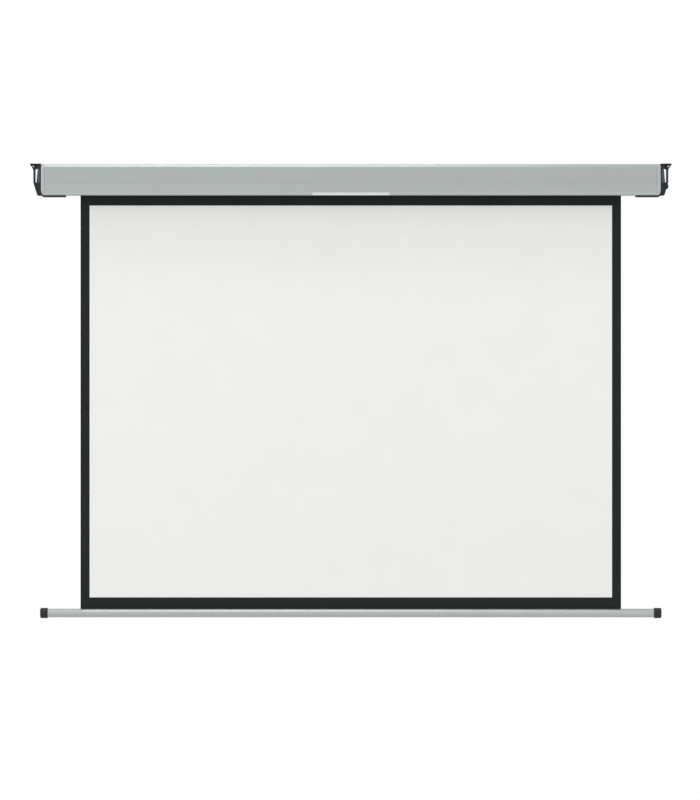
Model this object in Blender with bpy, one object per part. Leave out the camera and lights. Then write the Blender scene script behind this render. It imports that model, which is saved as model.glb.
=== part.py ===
"""Motorized projection screen, lowered, for a 1440 x 1080 mm picture.

Metres, +Z up. X runs along the case to the viewer's right, the viewer stands at -Y and the wall is at +Y.
The origin lies in the ceiling plane, midway between the two hangers.
"""

import math

import bmesh
import bpy
from mathutils import Matrix, Vector

# Clearances
GAP = 0.0003
RUN_GAP = 0.0008
BEARING_PLAY = 0.00015

# How far joined shapes run into each other, and how far a cutter runs past a face
SINK = 0.0010
PAST = 0.0020

# Facets round a circle
SCREW_STEPS = 8
SMALL_STEPS = 10
MEDIUM_STEPS = 16
LARGE_STEPS = 26
BAR_STEPS = 28

# Picture and fabric
PICTURE_WIDTH = 1.440
PICTURE_HEIGHT = 1.080
SIDE_BORDER = 0.025
TOP_BORDER_SHOWN = 0.0271
BOTTOM_BORDER = 0.031
FABRIC_THICKNESS = 0.0004

# Case: an extrusion open underneath, front at -Y
CASE_TOP = -0.002
CASE_HEIGHT = 0.0855
CASE_FRONT = -0.0435
CASE_WALL = 0.0018
CASE_OVERHANG = 0.097
CAP_THICKNESS = 0.0097
BROW_HEIGHT = 0.0076
BROW_DEPTH = 0.0055
BROW_RADIUS = 0.0025
LIP_HEIGHT = 0.0075
LIP_SWELL = 0.0010
LIP_LEAN = 0.0003
LIP_LEAN_HEIGHT = 0.0033
GROOVE_HEIGHT = 0.0012
GROOVE_DEPTH = 0.0006
LOWER_BAND_HEIGHT = 0.0221
LOWER_BAND_SWELL = 0.0010
CREASE_HEIGHT = 0.0010
CREASE_DEPTH = 0.0004
FRONT_WALL_EXTRA = 0.0008
SLOT_BEHIND_FABRIC = 0.0075
SLOT_BEFORE_FABRIC = 0.015
SLOT_LIP_HEIGHT = 0.005
PORT_INSET = 0.0049
PORT_BESIDE_SLOT = 0.0007
PORT_BEHIND_BROW = 0.0011
PORT_OUTER_RADIUS = 0.0034
PORT_BORE_RADIUS = 0.0017

# End caps
CAP_EDGE_RADIUS = 0.004
CAP_BOTTOM_RADIUS = 0.009
CAP_BOTTOM_RISE = 0.016
CAP_MARGIN = 0.0003
SPIGOT_DEPTH = 0.008
SPIGOT_WALL = 0.002
SPIGOT_BESIDE_PORT = 0.0019
CAP_SCREW_HEAD_RADIUS = 0.0031
CAP_SCREW_HEAD_HEIGHT = 0.0022
CAP_SCREW_RADIUS = 0.0014
CAP_SCREW_LENGTH = 0.014
CAP_SCREW_SEAT = 0.0065
BRACKET_SCREW_SEAT = 0.0030
BRACKET_SCREW_HEAD_RADIUS = 0.0030

# Hangers
HANGER_REACH = 0.031
HANGER_SIDE_WALL = 0.0095
HANGER_STRAP = 0.0040
HANGER_STRAP_OUTSIDE = 0.0218
HANGER_LOOP_HALF_WIDTH = 0.014
HANGER_FLANGE_THICKNESS = 0.0032
HANGER_FLANGE_FRONT = -0.028
HANGER_FRONT = -0.032
HANGER_FOOT_LENGTH = 0.068
HANGER_FOOT_THICKNESS = 0.004
HANGER_BACK_THICKNESS = 0.003
HANGER_BACK_WIDTH = 0.060
HANGER_BACK_TOP = -0.022
HANGER_BLOCK_HEIGHT = 0.035
HANGER_GAP_TOP = -0.0135
HANGER_POST_SETBACK = 0.006
HANGER_BOTTOM_MARGIN = 0.0003
HANGER_GAP_SLANT = 0.003
CEILING_HOLE_RADIUS = 0.0027
CEILING_HOLE_SPACING = 0.042
WALL_HOLE_RADIUS = 0.0030
WALL_SLOT_LENGTH = 0.012
WALL_SLOT_BELOW_AXIS = 0.002
LOCK_SCREW_RADIUS = 0.0019
LOCK_SCREW_HEAD_RADIUS = 0.0035
LOCK_SCREW_LENGTH = 0.0105
LOCK_SCREW_RECESS = 0.0024

# Mains cable gland in the right hanger
GLAND_BELOW_AXIS = 0.0185
GLAND_FLANGE_RADIUS = 0.0072
GLAND_FLANGE_HEIGHT = 0.0062
GLAND_PROUD = 0.0003
GLAND_SHANK_RADIUS = 0.0048
GLAND_BORE_RADIUS = 0.0033
GLAND_NUT_RADIUS = 0.0074
GLAND_NUT_HEIGHT = 0.0035

# Pale strip on the lip
STRIP_LENGTH = 0.212
STRIP_HEIGHT = 0.0075
STRIP_THICKNESS = 0.0009

# Winding tube
AXIS_ABOVE_MIDDLE = 0.00075
TUBE_RADIUS = 0.0225
TUBE_WALL = 0.0012
TUBE_OVERHANG = 0.045
CHANNEL_MOUTH = 0.0032
CHANNEL_WIDTH = 0.0052
CHANNEL_LIP = 0.0009
CHANNEL_DEPTH = 0.0026
CHANNEL_WALL = 0.0010
STAYING_TURNS = 2
TURN_PITCH = 0.00085

# Motor
CROWN_WALL = 0.0028
CROWN_PLAY = 0.0004
MOTOR_WALL = 0.0010
MOTOR_LENGTH = 0.460
HEAD_OVER_TUBE = 0.0005
HEAD_LENGTH = 0.030
STUD_SIDE = 0.0150
STUD_LENGTH = 0.013
LIMIT_SCREW_RADIUS = 0.0025
LIMIT_SCREW_LENGTH = 0.010
LIMIT_SCREW_SPACING = 0.010
LIMIT_SCREW_TILT = math.radians(30)
LIMIT_KEY_RADIUS = 0.0013
LIMIT_KEY_DEPTH = 0.0030

# Last planetary stage, ring gear fixed
RING_RIM = 0.00175
SUN_TEETH = 12
PLANET_TEETH = 12
PLANETS = 3
PRESSURE_ANGLE = math.radians(25)
ADDENDUM = 0.9
DEDENDUM = 1.25
FLANK_BACKLASH = 0.00006
GEAR_WIDTH = 0.010
PLANET_PIN_RADIUS = 0.0015
SUN_SHAFT_RADIUS = 0.0025
OUTPUT_SHAFT_RADIUS = 0.0060
SHAFT_FLAT_DEPTH = 0.0012
CLIP_GROOVE_DEPTH = 0.0010
DRIVE_WHEEL_WIDTH = 0.022

# Brackets inside the case
BRACKET_HALF_SIDE = 0.026
BRACKET_THICKNESS = 0.004
BRACKET_HUB_RADIUS = 0.013
BRACKET_SCREW_OFFSET = 0.021
BRACKET_SCREW_RADIUS = 0.0015
BRACKET_SCREW_LENGTH = CAP_THICKNESS + 0.0005
IDLER_PIN_RADIUS = 0.0050
IDLER_BUSH_WALL = 0.0035

# Bottom bar
BAR_RADIUS = 0.0120
BAR_OVERHANG = 0.108
BAR_SEAM_INSET = 0.0075
BAR_SEAM_WIDTH = 0.0012
BAR_SEAM_DEPTH = 0.0003
BAR_WALL = 0.0012
BAR_WEB = 0.0016
HEM_CHANNEL_RADIUS = 0.0040
HEM_SLOT_WIDTH = 0.0026
HEM_SLOT_DEPTH = 0.0020
HEM_PLAY = 0.0012
BALLAST_PLAY = 0.0004
BAR_CAP_WALL = 0.00195
BAR_CAP_EDGE_RADIUS = 0.0045
BAR_CAP_LENGTH = 0.0210
BAR_CAP_END_WALL = 0.0030

# Values that follow from the ones above: fabric and winding tube
FABRIC_HALF_WIDTH = PICTURE_WIDTH / 2 + SIDE_BORDER
TUBE_HALF_LENGTH = FABRIC_HALF_WIDTH + TUBE_OVERHANG
TUBE_BORE = TUBE_RADIUS - TUBE_WALL
ROLL_OUTSIDE = TUBE_RADIUS + GAP + STAYING_TURNS * TURN_PITCH + FABRIC_THICKNESS
FABRIC_FRONT = ROLL_OUTSIDE - FABRIC_THICKNESS
FABRIC_Y = ROLL_OUTSIDE - FABRIC_THICKNESS / 2

# Case, caps and hangers
CASE_HALF_LENGTH = FABRIC_HALF_WIDTH + CASE_OVERHANG
CASE_BOTTOM = CASE_TOP - CASE_HEIGHT
SLOT_FRONT = FABRIC_Y - SLOT_BEFORE_FABRIC
SLOT_REAR = FABRIC_Y + SLOT_BEHIND_FABRIC
CASE_REAR = SLOT_REAR + CASE_WALL + PORT_BESIDE_SLOT + PORT_OUTER_RADIUS + PORT_INSET
LIP_TOP = CASE_BOTTOM + LIP_HEIGHT
LIP_FRONT = CASE_FRONT - LIP_SWELL
BAND_BOTTOM = LIP_TOP + GROOVE_HEIGHT
BAND_TOP = BAND_BOTTOM + LOWER_BAND_HEIGHT - CREASE_HEIGHT
CREASE_TOP = BAND_TOP + CREASE_HEIGHT
CAP_INSIDE = CASE_HALF_LENGTH + GAP
CAP_OUTSIDE = CAP_INSIDE + CAP_THICKNESS
HANGER_INSIDE = CAP_OUTSIDE + GAP
HANGER_WALL_OUTSIDE = HANGER_INSIDE + HANGER_SIDE_WALL
HANGER_STRAP_OUT = CAP_OUTSIDE + HANGER_STRAP_OUTSIDE
HANGER_TIP = CAP_OUTSIDE + HANGER_REACH
HANGER_BOTTOM = CASE_BOTTOM - HANGER_BOTTOM_MARGIN
HANGER_BLOCK_TOP = CASE_BOTTOM + HANGER_BLOCK_HEIGHT
HANGER_WALL_FACE = CASE_REAR + GAP + HANGER_BACK_THICKNESS
FOOT_BOTTOM = CASE_BOTTOM - GAP - HANGER_FOOT_THICKNESS
LOCK_SCREW_X = CAP_INSIDE + CAP_THICKNESS / 2 - 0.0008

# Winding axis and what lies on it
AXIS_DROP = CASE_TOP - CASE_HEIGHT / 2 + AXIS_ABOVE_MIDDLE
GLAND_DROP = AXIS_DROP - GLAND_BELOW_AXIS
GLAND_SEAT = HANGER_STRAP_OUT - GLAND_FLANGE_HEIGHT + GLAND_PROUD
BRACKET_END = CASE_HALF_LENGTH - GAP
BRACKET_START = BRACKET_END - BRACKET_THICKNESS
HEAD_START = TUBE_HALF_LENGTH + 0.0023
HEAD_END = HEAD_START + HEAD_LENGTH
HEAD_RADIUS = TUBE_RADIUS + HEAD_OVER_TUBE
KEYED_RADIUS = TUBE_BORE - 2 * GAP
MOTOR_RADIUS = KEYED_RADIUS - CROWN_WALL - CROWN_PLAY
MOTOR_BORE = MOTOR_RADIUS - MOTOR_WALL
MOTOR_START = HEAD_START - MOTOR_LENGTH
RING_TEETH = SUN_TEETH + 2 * PLANET_TEETH
GEAR_MODULE = (MOTOR_BORE - GAP - RING_RIM) / (RING_TEETH / 2 + DEDENDUM)
SUN_PITCH = GEAR_MODULE * SUN_TEETH / 2
PLANET_PITCH = GEAR_MODULE * PLANET_TEETH / 2
RING_PITCH = GEAR_MODULE * RING_TEETH / 2
PLANET_ORBIT = SUN_PITCH + PLANET_PITCH
CARRIER_START = MOTOR_START + 0.008
CARRIER_THICKNESS = 0.004
GEARS_START = CARRIER_START + CARRIER_THICKNESS + RUN_GAP
GEARS_END = GEARS_START + GEAR_WIDTH

# Picture and bottom bar
PICTURE_TOP = CASE_BOTTOM - TOP_BORDER_SHOWN
PICTURE_BOTTOM = PICTURE_TOP - PICTURE_HEIGHT
BAR_TOP = PICTURE_BOTTOM - BOTTOM_BORDER
BAR_Z = BAR_TOP - BAR_RADIUS
BAR_HALF_LENGTH = FABRIC_HALF_WIDTH + BAR_OVERHANG
HEM_CHANNEL_RISE = BAR_RADIUS - HEM_SLOT_DEPTH - HEM_CHANNEL_RADIUS
HEM_ROD_RADIUS = HEM_CHANNEL_RADIUS - HEM_PLAY
BALLAST_BORE_RADIUS = BAR_RADIUS - HEM_CHANNEL_RADIUS - (BAR_WALL + BAR_WEB + HEM_SLOT_DEPTH) / 2
BALLAST_BORE_DROP = BAR_RADIUS - BAR_WALL - BALLAST_BORE_RADIUS
BALLAST_RADIUS = BALLAST_BORE_RADIUS - BALLAST_PLAY
BAR_CAP_BORE = BAR_RADIUS + GAP
BAR_CAP_RADIUS = BAR_CAP_BORE + BAR_CAP_WALL

# Finishes: colour, roughness, metallic
SILVER_PAINT = ((0.43, 0.45, 0.46), 0.45, 0.35)
SILVER_PLASTIC = ((0.47, 0.49, 0.52), 0.45, 0.20)
BLACK_PLASTIC = ((0.018, 0.020, 0.024), 0.45, 0.0)
ALUMINIUM = ((0.62, 0.64, 0.64), 0.38, 0.90)
STEEL = ((0.50, 0.50, 0.50), 0.35, 1.0)
GALVANISED = ((0.60, 0.61, 0.62), 0.50, 0.90)
BRASS = ((0.70, 0.52, 0.25), 0.35, 1.0)
WHITE_FABRIC = ((0.84, 0.84, 0.82), 0.85, 0.0)
PALE_STRIP = ((0.80, 0.82, 0.81), 0.50, 0.0)
GREY_NYLON = ((0.30, 0.31, 0.32), 0.50, 0.0)
YELLOW_PLASTIC = ((0.80, 0.60, 0.08), 0.45, 0.0)
WHITE_PLASTIC = ((0.80, 0.80, 0.78), 0.45, 0.0)


def clear_scene():
    for old in list(bpy.data.objects):
        bpy.data.objects.remove(old, do_unlink=True)


def finish(name, look):
    colour, roughness, metallic = look
    material = bpy.data.materials.new(name)
    material.use_nodes = True
    shader = material.node_tree.nodes["Principled BSDF"]
    shader.inputs["Base Color"].default_value = (*colour, 1)
    shader.inputs["Roughness"].default_value = roughness
    shader.inputs["Metallic"].default_value = metallic
    return material


def joint_axis(name, location):
    empty = bpy.data.objects.new(name, None)
    empty.location = location
    bpy.context.scene.collection.objects.link(empty)
    return empty


def add_object(name, bm, look, location=(0, 0, 0), parent=None):
    """Makes an object with smooth round faces. With a parent, the mesh is in the parent's frame."""
    bmesh.ops.recalc_face_normals(bm, faces=bm.faces)
    mesh = bpy.data.meshes.new(name)
    bm.to_mesh(mesh)
    bm.free()
    mesh.shade_smooth()
    mesh.set_sharp_from_angle(angle=math.radians(32))
    obj = bpy.data.objects.new(name, mesh)
    obj.location = location
    obj.parent = parent
    if look:
        mesh.materials.append(finish(name, look))
    bpy.context.scene.collection.objects.link(obj)
    return obj


def combine(obj, operation, bm):
    """Cuts or joins a hidden tool shape, given in the object's own frame. The result has flat faces."""
    tool = add_object(f"tool_for_{obj.name}_{len(obj.modifiers)}", bm, None, obj.location, obj.parent)
    obj.data.shade_flat()
    tool.data.shade_flat()
    tool.hide_render = True
    tool.display_type = "WIRE"
    modifier = obj.modifiers.new(operation.lower(), "BOOLEAN")
    modifier.operation = operation
    modifier.solver = "EXACT"
    modifier.object = tool


# Outlines

def arc(centre, radius, start, end, steps):
    """Points of an arc, both ends included. Angles in radians."""
    points = []
    for i in range(steps + 1):
        angle = start + (end - start) * i / steps
        points.append((centre[0] + radius * math.cos(angle), centre[1] + radius * math.sin(angle)))
    return points


def circle(centre, radius, steps):
    return arc(centre, radius, 0, 2 * math.pi, steps)[:-1]


def rounded(corners, steps=2):
    """A closed outline from corners (a, b, radius), with an arc at each corner that has a radius."""
    outline = []
    for i, (a, b, radius) in enumerate(corners):
        corner = Vector((a, b))
        if radius <= 0:
            outline.append((a, b))
            continue
        before = (Vector(corners[i - 1][:2]) - corner).normalized()
        after = (Vector(corners[(i + 1) % len(corners)][:2]) - corner).normalized()
        half = before.angle(after) / 2
        centre = corner + (before + after).normalized() * (radius / math.sin(half))
        first = corner + before * (radius / math.tan(half)) - centre
        last = corner + after * (radius / math.tan(half)) - centre
        sweep = math.pi - 2 * half
        turn = sweep if first.x * last.y - first.y * last.x > 0 else -sweep
        for k in range(steps + 1):
            point = centre + Matrix.Rotation(turn * k / steps, 2) @ first
            outline.append((point.x, point.y))
    return outline


def box_outline(a0, a1, b0, b1, radius=0.0, steps=2):
    return rounded([(a0, b0, radius), (a1, b0, radius), (a1, b1, radius), (a0, b1, radius)], steps)


# Solids

def to_space(along, a, b, depth):
    """A profile point in space: X takes (y, z), Y takes (x, z) and Z takes (x, y)."""
    if along == "X":
        return (depth, a, b)
    if along == "Y":
        return (a, depth, b)
    return (a, b, depth)


def prism(along, outlines, low, high, mirror=1):
    """A profile with any holes in it, run along one axis. mirror=-1 gives the left-hand copy."""
    bm = bmesh.new()
    for outline in outlines:
        loop = [bm.verts.new(to_space(along, a, b, low)) for a, b in outline]
        for first, second in zip(loop, loop[1:] + loop[:1]):
            bm.edges.new((first, second))
    normal = to_space(along, 0, 0, 1)
    bmesh.ops.triangle_fill(bm, use_beauty=True, edges=bm.edges[:], normal=normal)
    run = bmesh.ops.extrude_face_region(bm, geom=bm.faces[:])
    moved = [v for v in run["geom"] if isinstance(v, bmesh.types.BMVert)]
    bmesh.ops.translate(bm, verts=moved, vec=Vector(to_space(along, 0, 0, high - low)))
    if mirror < 0:
        bmesh.ops.scale(bm, verts=bm.verts, vec=(-1, 1, 1))
    return bm


def lathe(profile, steps, closed=False, mirror=1):
    """Turns points (x, radius) about the X axis. A closed profile gives a ring."""
    bm = bmesh.new()
    points = [bm.verts.new((x, radius, 0)) for x, radius in profile]
    pairs = list(zip(points, points[1:]))
    if closed:
        pairs.append((points[-1], points[0]))
    edges = [bm.edges.new(pair) for pair in pairs]
    around = {"axis": (1, 0, 0), "cent": (0, 0, 0), "angle": 2 * math.pi, "steps": steps}
    bmesh.ops.spin(bm, geom=points + edges, use_merge=True, **around)
    bmesh.ops.remove_doubles(bm, verts=bm.verts, dist=1e-7)
    if mirror < 0:
        bmesh.ops.scale(bm, verts=bm.verts, vec=(-1, 1, 1))
    return bm


def ring(x0, x1, inner, outer, steps, mirror=1):
    return lathe([(x0, inner), (x1, inner), (x1, outer), (x0, outer)], steps, closed=True, mirror=mirror)


def rod(x0, x1, radius, steps, chamfer=0.0, mirror=1):
    if chamfer:
        inner = radius - chamfer
        side = [(x0, inner), (x0 + chamfer, radius), (x1 - chamfer, radius), (x1, inner)]
    else:
        side = [(x0, radius), (x1, radius)]
    return lathe([(x0, 0)] + side + [(x1, 0)], steps, mirror=mirror)


def move(bm, offset):
    bmesh.ops.translate(bm, verts=bm.verts, vec=offset)
    return bm


# Case

def brow_height_at(y, inward):
    """At a depth y, the height of a line that lies so far inside the brow's slope."""
    slope = math.hypot(BROW_DEPTH, BROW_HEIGHT)
    return CASE_TOP - BROW_HEIGHT + ((y - CASE_FRONT) * BROW_HEIGHT - inward * slope) / BROW_DEPTH


def brow_depth_at(z, inward):
    """At a height z, the depth of a line that lies so far inside the brow's slope."""
    slope = math.hypot(BROW_DEPTH, BROW_HEIGHT)
    return CASE_FRONT + (inward * slope + (z - CASE_TOP + BROW_HEIGHT) * BROW_DEPTH) / BROW_HEIGHT


def case_profile():
    """The C-shaped section in (y, z), from the slot's front edge round to its upturned rear edge."""
    swell = CASE_FRONT - LOWER_BAND_SWELL
    crease_floor = CASE_FRONT + CREASE_DEPTH
    groove_floor = LIP_FRONT + GROOVE_DEPTH
    inner_front = CASE_FRONT + CASE_WALL + FRONT_WALL_EXTRA
    inner_rear = CASE_REAR - CASE_WALL
    inner_top = CASE_TOP - CASE_WALL
    floor = CASE_BOTTOM + CASE_WALL
    lip_up = CASE_BOTTOM + SLOT_LIP_HEIGHT
    return rounded([
        (SLOT_FRONT, lip_up, 0.0006),
        (SLOT_FRONT, CASE_BOTTOM, 0.0012),
        (LIP_FRONT, CASE_BOTTOM, 0.0040),
        (LIP_FRONT, LIP_TOP - LIP_LEAN_HEIGHT, 0),
        (LIP_FRONT + LIP_LEAN, LIP_TOP, 0),
        (groove_floor, LIP_TOP, 0),
        (groove_floor, BAND_BOTTOM, 0),
        (swell, BAND_BOTTOM, 0.0003),
        (CASE_FRONT - 0.0002, BAND_TOP, 0.0002),
        (crease_floor, BAND_TOP, 0),
        (crease_floor, CREASE_TOP, 0),
        (CASE_FRONT, CREASE_TOP, 0),
        (CASE_FRONT, CASE_TOP - BROW_HEIGHT, BROW_RADIUS),
        (CASE_FRONT + BROW_DEPTH, CASE_TOP, BROW_RADIUS),
        (CASE_REAR, CASE_TOP, 0.0025),
        (CASE_REAR, CASE_BOTTOM, 0.0025),
        (SLOT_REAR, CASE_BOTTOM, 0.0012),
        (SLOT_REAR, lip_up, 0.0006),
        (SLOT_REAR + CASE_WALL, lip_up, 0.0006),
        (SLOT_REAR + CASE_WALL, floor, 0),
        (inner_rear, floor, 0.0010),
        (inner_rear, inner_top, 0.0010),
        (brow_depth_at(inner_top, CASE_WALL), inner_top, 0.0010),
        (inner_front, brow_height_at(inner_front, CASE_WALL), 0.0010),
        (inner_front, floor, 0.0010),
        (SLOT_FRONT - CASE_WALL, floor, 0),
        (SLOT_FRONT - CASE_WALL, lip_up, 0.0006),
    ])


def port_centres():
    """Screw ports in the four corners of the case, in (y, z)."""
    front = CASE_FRONT + PORT_INSET + FRONT_WALL_EXTRA
    rear = CASE_REAR - PORT_INSET
    top = CASE_TOP - PORT_INSET
    bottom = CASE_BOTTOM + PORT_INSET
    behind_brow = (front + PORT_BEHIND_BROW, top - PORT_BEHIND_BROW)
    return [behind_brow, (front, bottom), (rear, bottom), (rear, top)]


def port_profile(centre):
    """A C-shaped screw port that opens toward the middle of the case."""
    middle_z = CASE_TOP - CASE_HEIGHT / 2
    inward = math.atan2(middle_z - centre[1], -centre[0])
    gap = math.radians(28)
    outer = arc(centre, PORT_OUTER_RADIUS, inward + gap, inward + 2 * math.pi - gap, 10)
    inner = arc(centre, PORT_BORE_RADIUS, inward + 2 * math.pi - gap, inward + gap, 8)
    return outer + inner


def make_case():
    half = CASE_HALF_LENGTH
    shell = add_object("case_shell", prism("X", [case_profile()], -half, half), SILVER_PAINT)
    for centre in port_centres():
        combine(shell, "UNION", prism("X", [port_profile(centre)], -half, half))


def make_lip_strip():
    back = LIP_FRONT - GAP
    half = STRIP_LENGTH / 2
    outline = box_outline(-half, half, CASE_BOTTOM, CASE_BOTTOM + STRIP_HEIGHT, 0.0012)
    add_object("lip_strip", prism("Y", [outline], back - STRIP_THICKNESS, back), PALE_STRIP)


def cap_shell(side):
    """The cap's plate, as loops stacked along X: its outer edges are rounded, most of all underneath."""
    steps = 5
    front = CASE_FRONT - LOWER_BAND_SWELL - CAP_MARGIN
    rear = CASE_REAR + CAP_MARGIN / 2
    top = CASE_TOP + CAP_MARGIN
    bottom = CASE_BOTTOM - CAP_MARGIN / 2
    bm = bmesh.new()
    loops = []
    for i in range(steps + 1):
        angle = math.pi / 2 * i / steps
        x = max(CAP_OUTSIDE - CAP_BOTTOM_RADIUS * (1 - math.sin(angle)), CAP_INSIDE)
        if i == 0:
            x = CAP_INSIDE
        below = CAP_BOTTOM_RISE * (1 - math.cos(angle))
        into = min(max(0.0, x - (CAP_OUTSIDE - CAP_EDGE_RADIUS)), CAP_EDGE_RADIUS)
        around = CAP_EDGE_RADIUS * (1 - math.cos(math.asin(into / CAP_EDGE_RADIUS)))
        inward = around - CAP_MARGIN
        brow = max(BROW_RADIUS - around, 0.001)
        outline = rounded([
            (front + around, bottom + below, max(0.0045 - around, 0.001)),
            (rear - around, bottom + below, max(0.0030 - around, 0.001)),
            (rear - around, top - around, max(0.0030 - around, 0.001)),
            (brow_depth_at(top - around, inward), top - around, brow),
            (front + around, brow_height_at(front + around, inward), brow),
        ])
        loops.append([bm.verts.new((x, y, z)) for y, z in outline])
    for lower, upper in zip(loops, loops[1:]):
        for i in range(len(lower)):
            j = (i + 1) % len(lower)
            bm.faces.new((lower[i], lower[j], upper[j], upper[i]))
    bm.faces.new(loops[0])
    bm.faces.new(loops[-1])
    if side < 0:
        bmesh.ops.scale(bm, verts=bm.verts, vec=(-1, 1, 1))
    return bm


def spigot_outlines():
    """The wall that locates the cap inside the case, clear of the screw ports and the slot's edges."""
    (front_port, _), _, (rear_port, _), _ = port_centres()
    clear = PORT_OUTER_RADIUS + SPIGOT_BESIDE_PORT
    front = front_port + clear
    rear = rear_port - clear
    top = CASE_TOP - CASE_WALL - GAP
    bottom = CASE_BOTTOM + SLOT_LIP_HEIGHT + GAP
    wall = SPIGOT_WALL
    outer = box_outline(front, rear, bottom, top, 0.003)
    inner = box_outline(front + wall, rear - wall, bottom + wall, top - wall, 0.002)
    return [outer, inner]


def make_end_cap(side, name):
    """A moulded cap: its spigot, four screw holes, and the holes for the bracket's screws and the gland."""
    cap = add_object(name, cap_shell(side), SILVER_PLASTIC)
    spigot = prism("X", spigot_outlines(), CASE_HALF_LENGTH - SPIGOT_DEPTH, CAP_INSIDE + SINK, side)
    combine(cap, "UNION", spigot)

    behind = CAP_INSIDE - PAST
    beyond = CAP_OUTSIDE + PAST
    shank = CAP_SCREW_RADIUS + GAP
    head = CAP_SCREW_HEAD_RADIUS + GAP
    seat = CAP_OUTSIDE - CAP_SCREW_SEAT
    for centre in port_centres():
        stepped = [(behind, 0), (behind, shank), (seat, shank), (seat, head), (beyond, head), (beyond, 0)]
        hole = lathe(stepped, SMALL_STEPS, mirror=side)
        combine(cap, "DIFFERENCE", move(hole, (0, *centre)))
    for offset in (-BRACKET_SCREW_OFFSET, BRACKET_SCREW_OFFSET):
        place = (0, offset, AXIS_DROP + offset)
        hole = rod(behind, beyond, BRACKET_SCREW_RADIUS + GAP, SMALL_STEPS, mirror=side)
        combine(cap, "DIFFERENCE", move(hole, place))
        recess_floor = CAP_OUTSIDE - BRACKET_SCREW_SEAT
        recess = rod(recess_floor, beyond, BRACKET_SCREW_HEAD_RADIUS + GAP, SMALL_STEPS, mirror=side)
        combine(cap, "DIFFERENCE", move(recess, place))
    if side > 0:
        passage = rod(behind, beyond, GLAND_SHANK_RADIUS + GAP, MEDIUM_STEPS)
        combine(cap, "DIFFERENCE", move(passage, (0, 0, GLAND_DROP)))
    lock_bore = circle((side * LOCK_SCREW_X, 0), LOCK_SCREW_RADIUS + GAP, 12)
    lock_hole = prism("Z", [lock_bore], CASE_BOTTOM - PAST, CASE_BOTTOM + LOCK_SCREW_LENGTH + 0.0025)
    combine(cap, "DIFFERENCE", lock_hole)


def screw(x_head, radius, length, head_radius, head_height, mirror):
    """A pan-head screw along X, its head's underside at x_head."""
    return lathe([
        (x_head - length, 0),
        (x_head - length + radius, radius),
        (x_head, radius),
        (x_head, head_radius),
        (x_head + head_height * 0.55, head_radius),
        (x_head + head_height, head_radius * 0.62),
        (x_head + head_height, 0),
    ], SCREW_STEPS, mirror=mirror)


def make_cap_screws(side, word):
    seat = CAP_OUTSIDE - CAP_SCREW_SEAT + GAP
    for i, centre in enumerate(port_centres()):
        head = (CAP_SCREW_HEAD_RADIUS, CAP_SCREW_HEAD_HEIGHT)
        bm = screw(seat, CAP_SCREW_RADIUS, CAP_SCREW_LENGTH, *head, side)
        add_object(f"cap_screw_{word}_{i + 1}", move(bm, (0, *centre)), STEEL)
    seat = CAP_OUTSIDE - BRACKET_SCREW_SEAT + GAP
    for i, offset in enumerate((-BRACKET_SCREW_OFFSET, BRACKET_SCREW_OFFSET)):
        bm = screw(seat, BRACKET_SCREW_RADIUS, BRACKET_SCREW_LENGTH, BRACKET_SCREW_HEAD_RADIUS, 0.0020, side)
        add_object(f"bracket_screw_{word}_{i + 1}", move(bm, (0, offset, AXIS_DROP + offset)), STEEL)


# Hangers

def cradle_profile():
    """Side wall, the corner that follows the cap's rounded edge, and the foot, in (x, z)."""
    clear = GAP + CAP_MARGIN / 2
    across = CAP_BOTTOM_RADIUS + clear
    down = CAP_BOTTOM_RISE + clear
    quarter = arc((0, 0), 1, 0, -math.pi / 2, 6)
    corner_x = CAP_OUTSIDE - CAP_BOTTOM_RADIUS
    corner_z = CASE_BOTTOM + CAP_BOTTOM_RISE
    inside = [(corner_x + x * across, corner_z + z * down) for x, z in quarter]
    foot_tip = HANGER_INSIDE - HANGER_FOOT_LENGTH
    top = -0.0020
    return [(HANGER_INSIDE, top)] + inside + rounded([
        (foot_tip, inside[-1][1], 0.0008),
        (foot_tip, FOOT_BOTTOM, 0.0022),
        (HANGER_INSIDE - 0.0050, FOOT_BOTTOM, 0.0035),
        (HANGER_INSIDE - 0.0005, HANGER_BOTTOM, 0.0020),
        (HANGER_WALL_OUTSIDE, HANGER_BOTTOM, 0.0025),
        (HANGER_WALL_OUTSIDE, top, 0),
    ])


def loop_profile():
    """The loop in front view: flange root, slanted strap and tapering block, with its gap and window."""
    strap_in = HANGER_STRAP_OUT - HANGER_STRAP
    gap_inside = HANGER_WALL_OUTSIDE + 0.0002
    root = -0.0012
    outer = rounded([
        (HANGER_INSIDE + 0.002, root, 0),
        (HANGER_INSIDE + 0.002, HANGER_BOTTOM, 0),
        (HANGER_WALL_OUTSIDE + 0.0012, HANGER_BOTTOM, 0.003),
        (HANGER_STRAP_OUT, HANGER_BLOCK_TOP, 0.010),
        (HANGER_STRAP_OUT, HANGER_GAP_TOP - 0.0015, 0.020),
        (HANGER_TIP - 0.0004, -0.0030, 0.001),
        (HANGER_TIP - 0.0004, root, 0),
    ], 4)
    gap = rounded([
        (gap_inside, HANGER_GAP_TOP, 0.001),
        (strap_in, HANGER_GAP_TOP - 0.0025, 0.001),
        (strap_in, HANGER_BLOCK_TOP + 0.004, 0.002),
        (strap_in - 0.0018, HANGER_BLOCK_TOP, 0.0006),
        (gap_inside + HANGER_GAP_SLANT, HANGER_BLOCK_TOP + 0.001, 0.0006),
    ], 2)
    window = rounded([
        (strap_in + 0.0030, -0.0100, 0.0005),
        (strap_in + 0.0078, -0.0052, 0.0005),
        (strap_in + 0.0022, -0.0056, 0.0005),
    ], 2)
    return [outer, gap, window]


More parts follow.
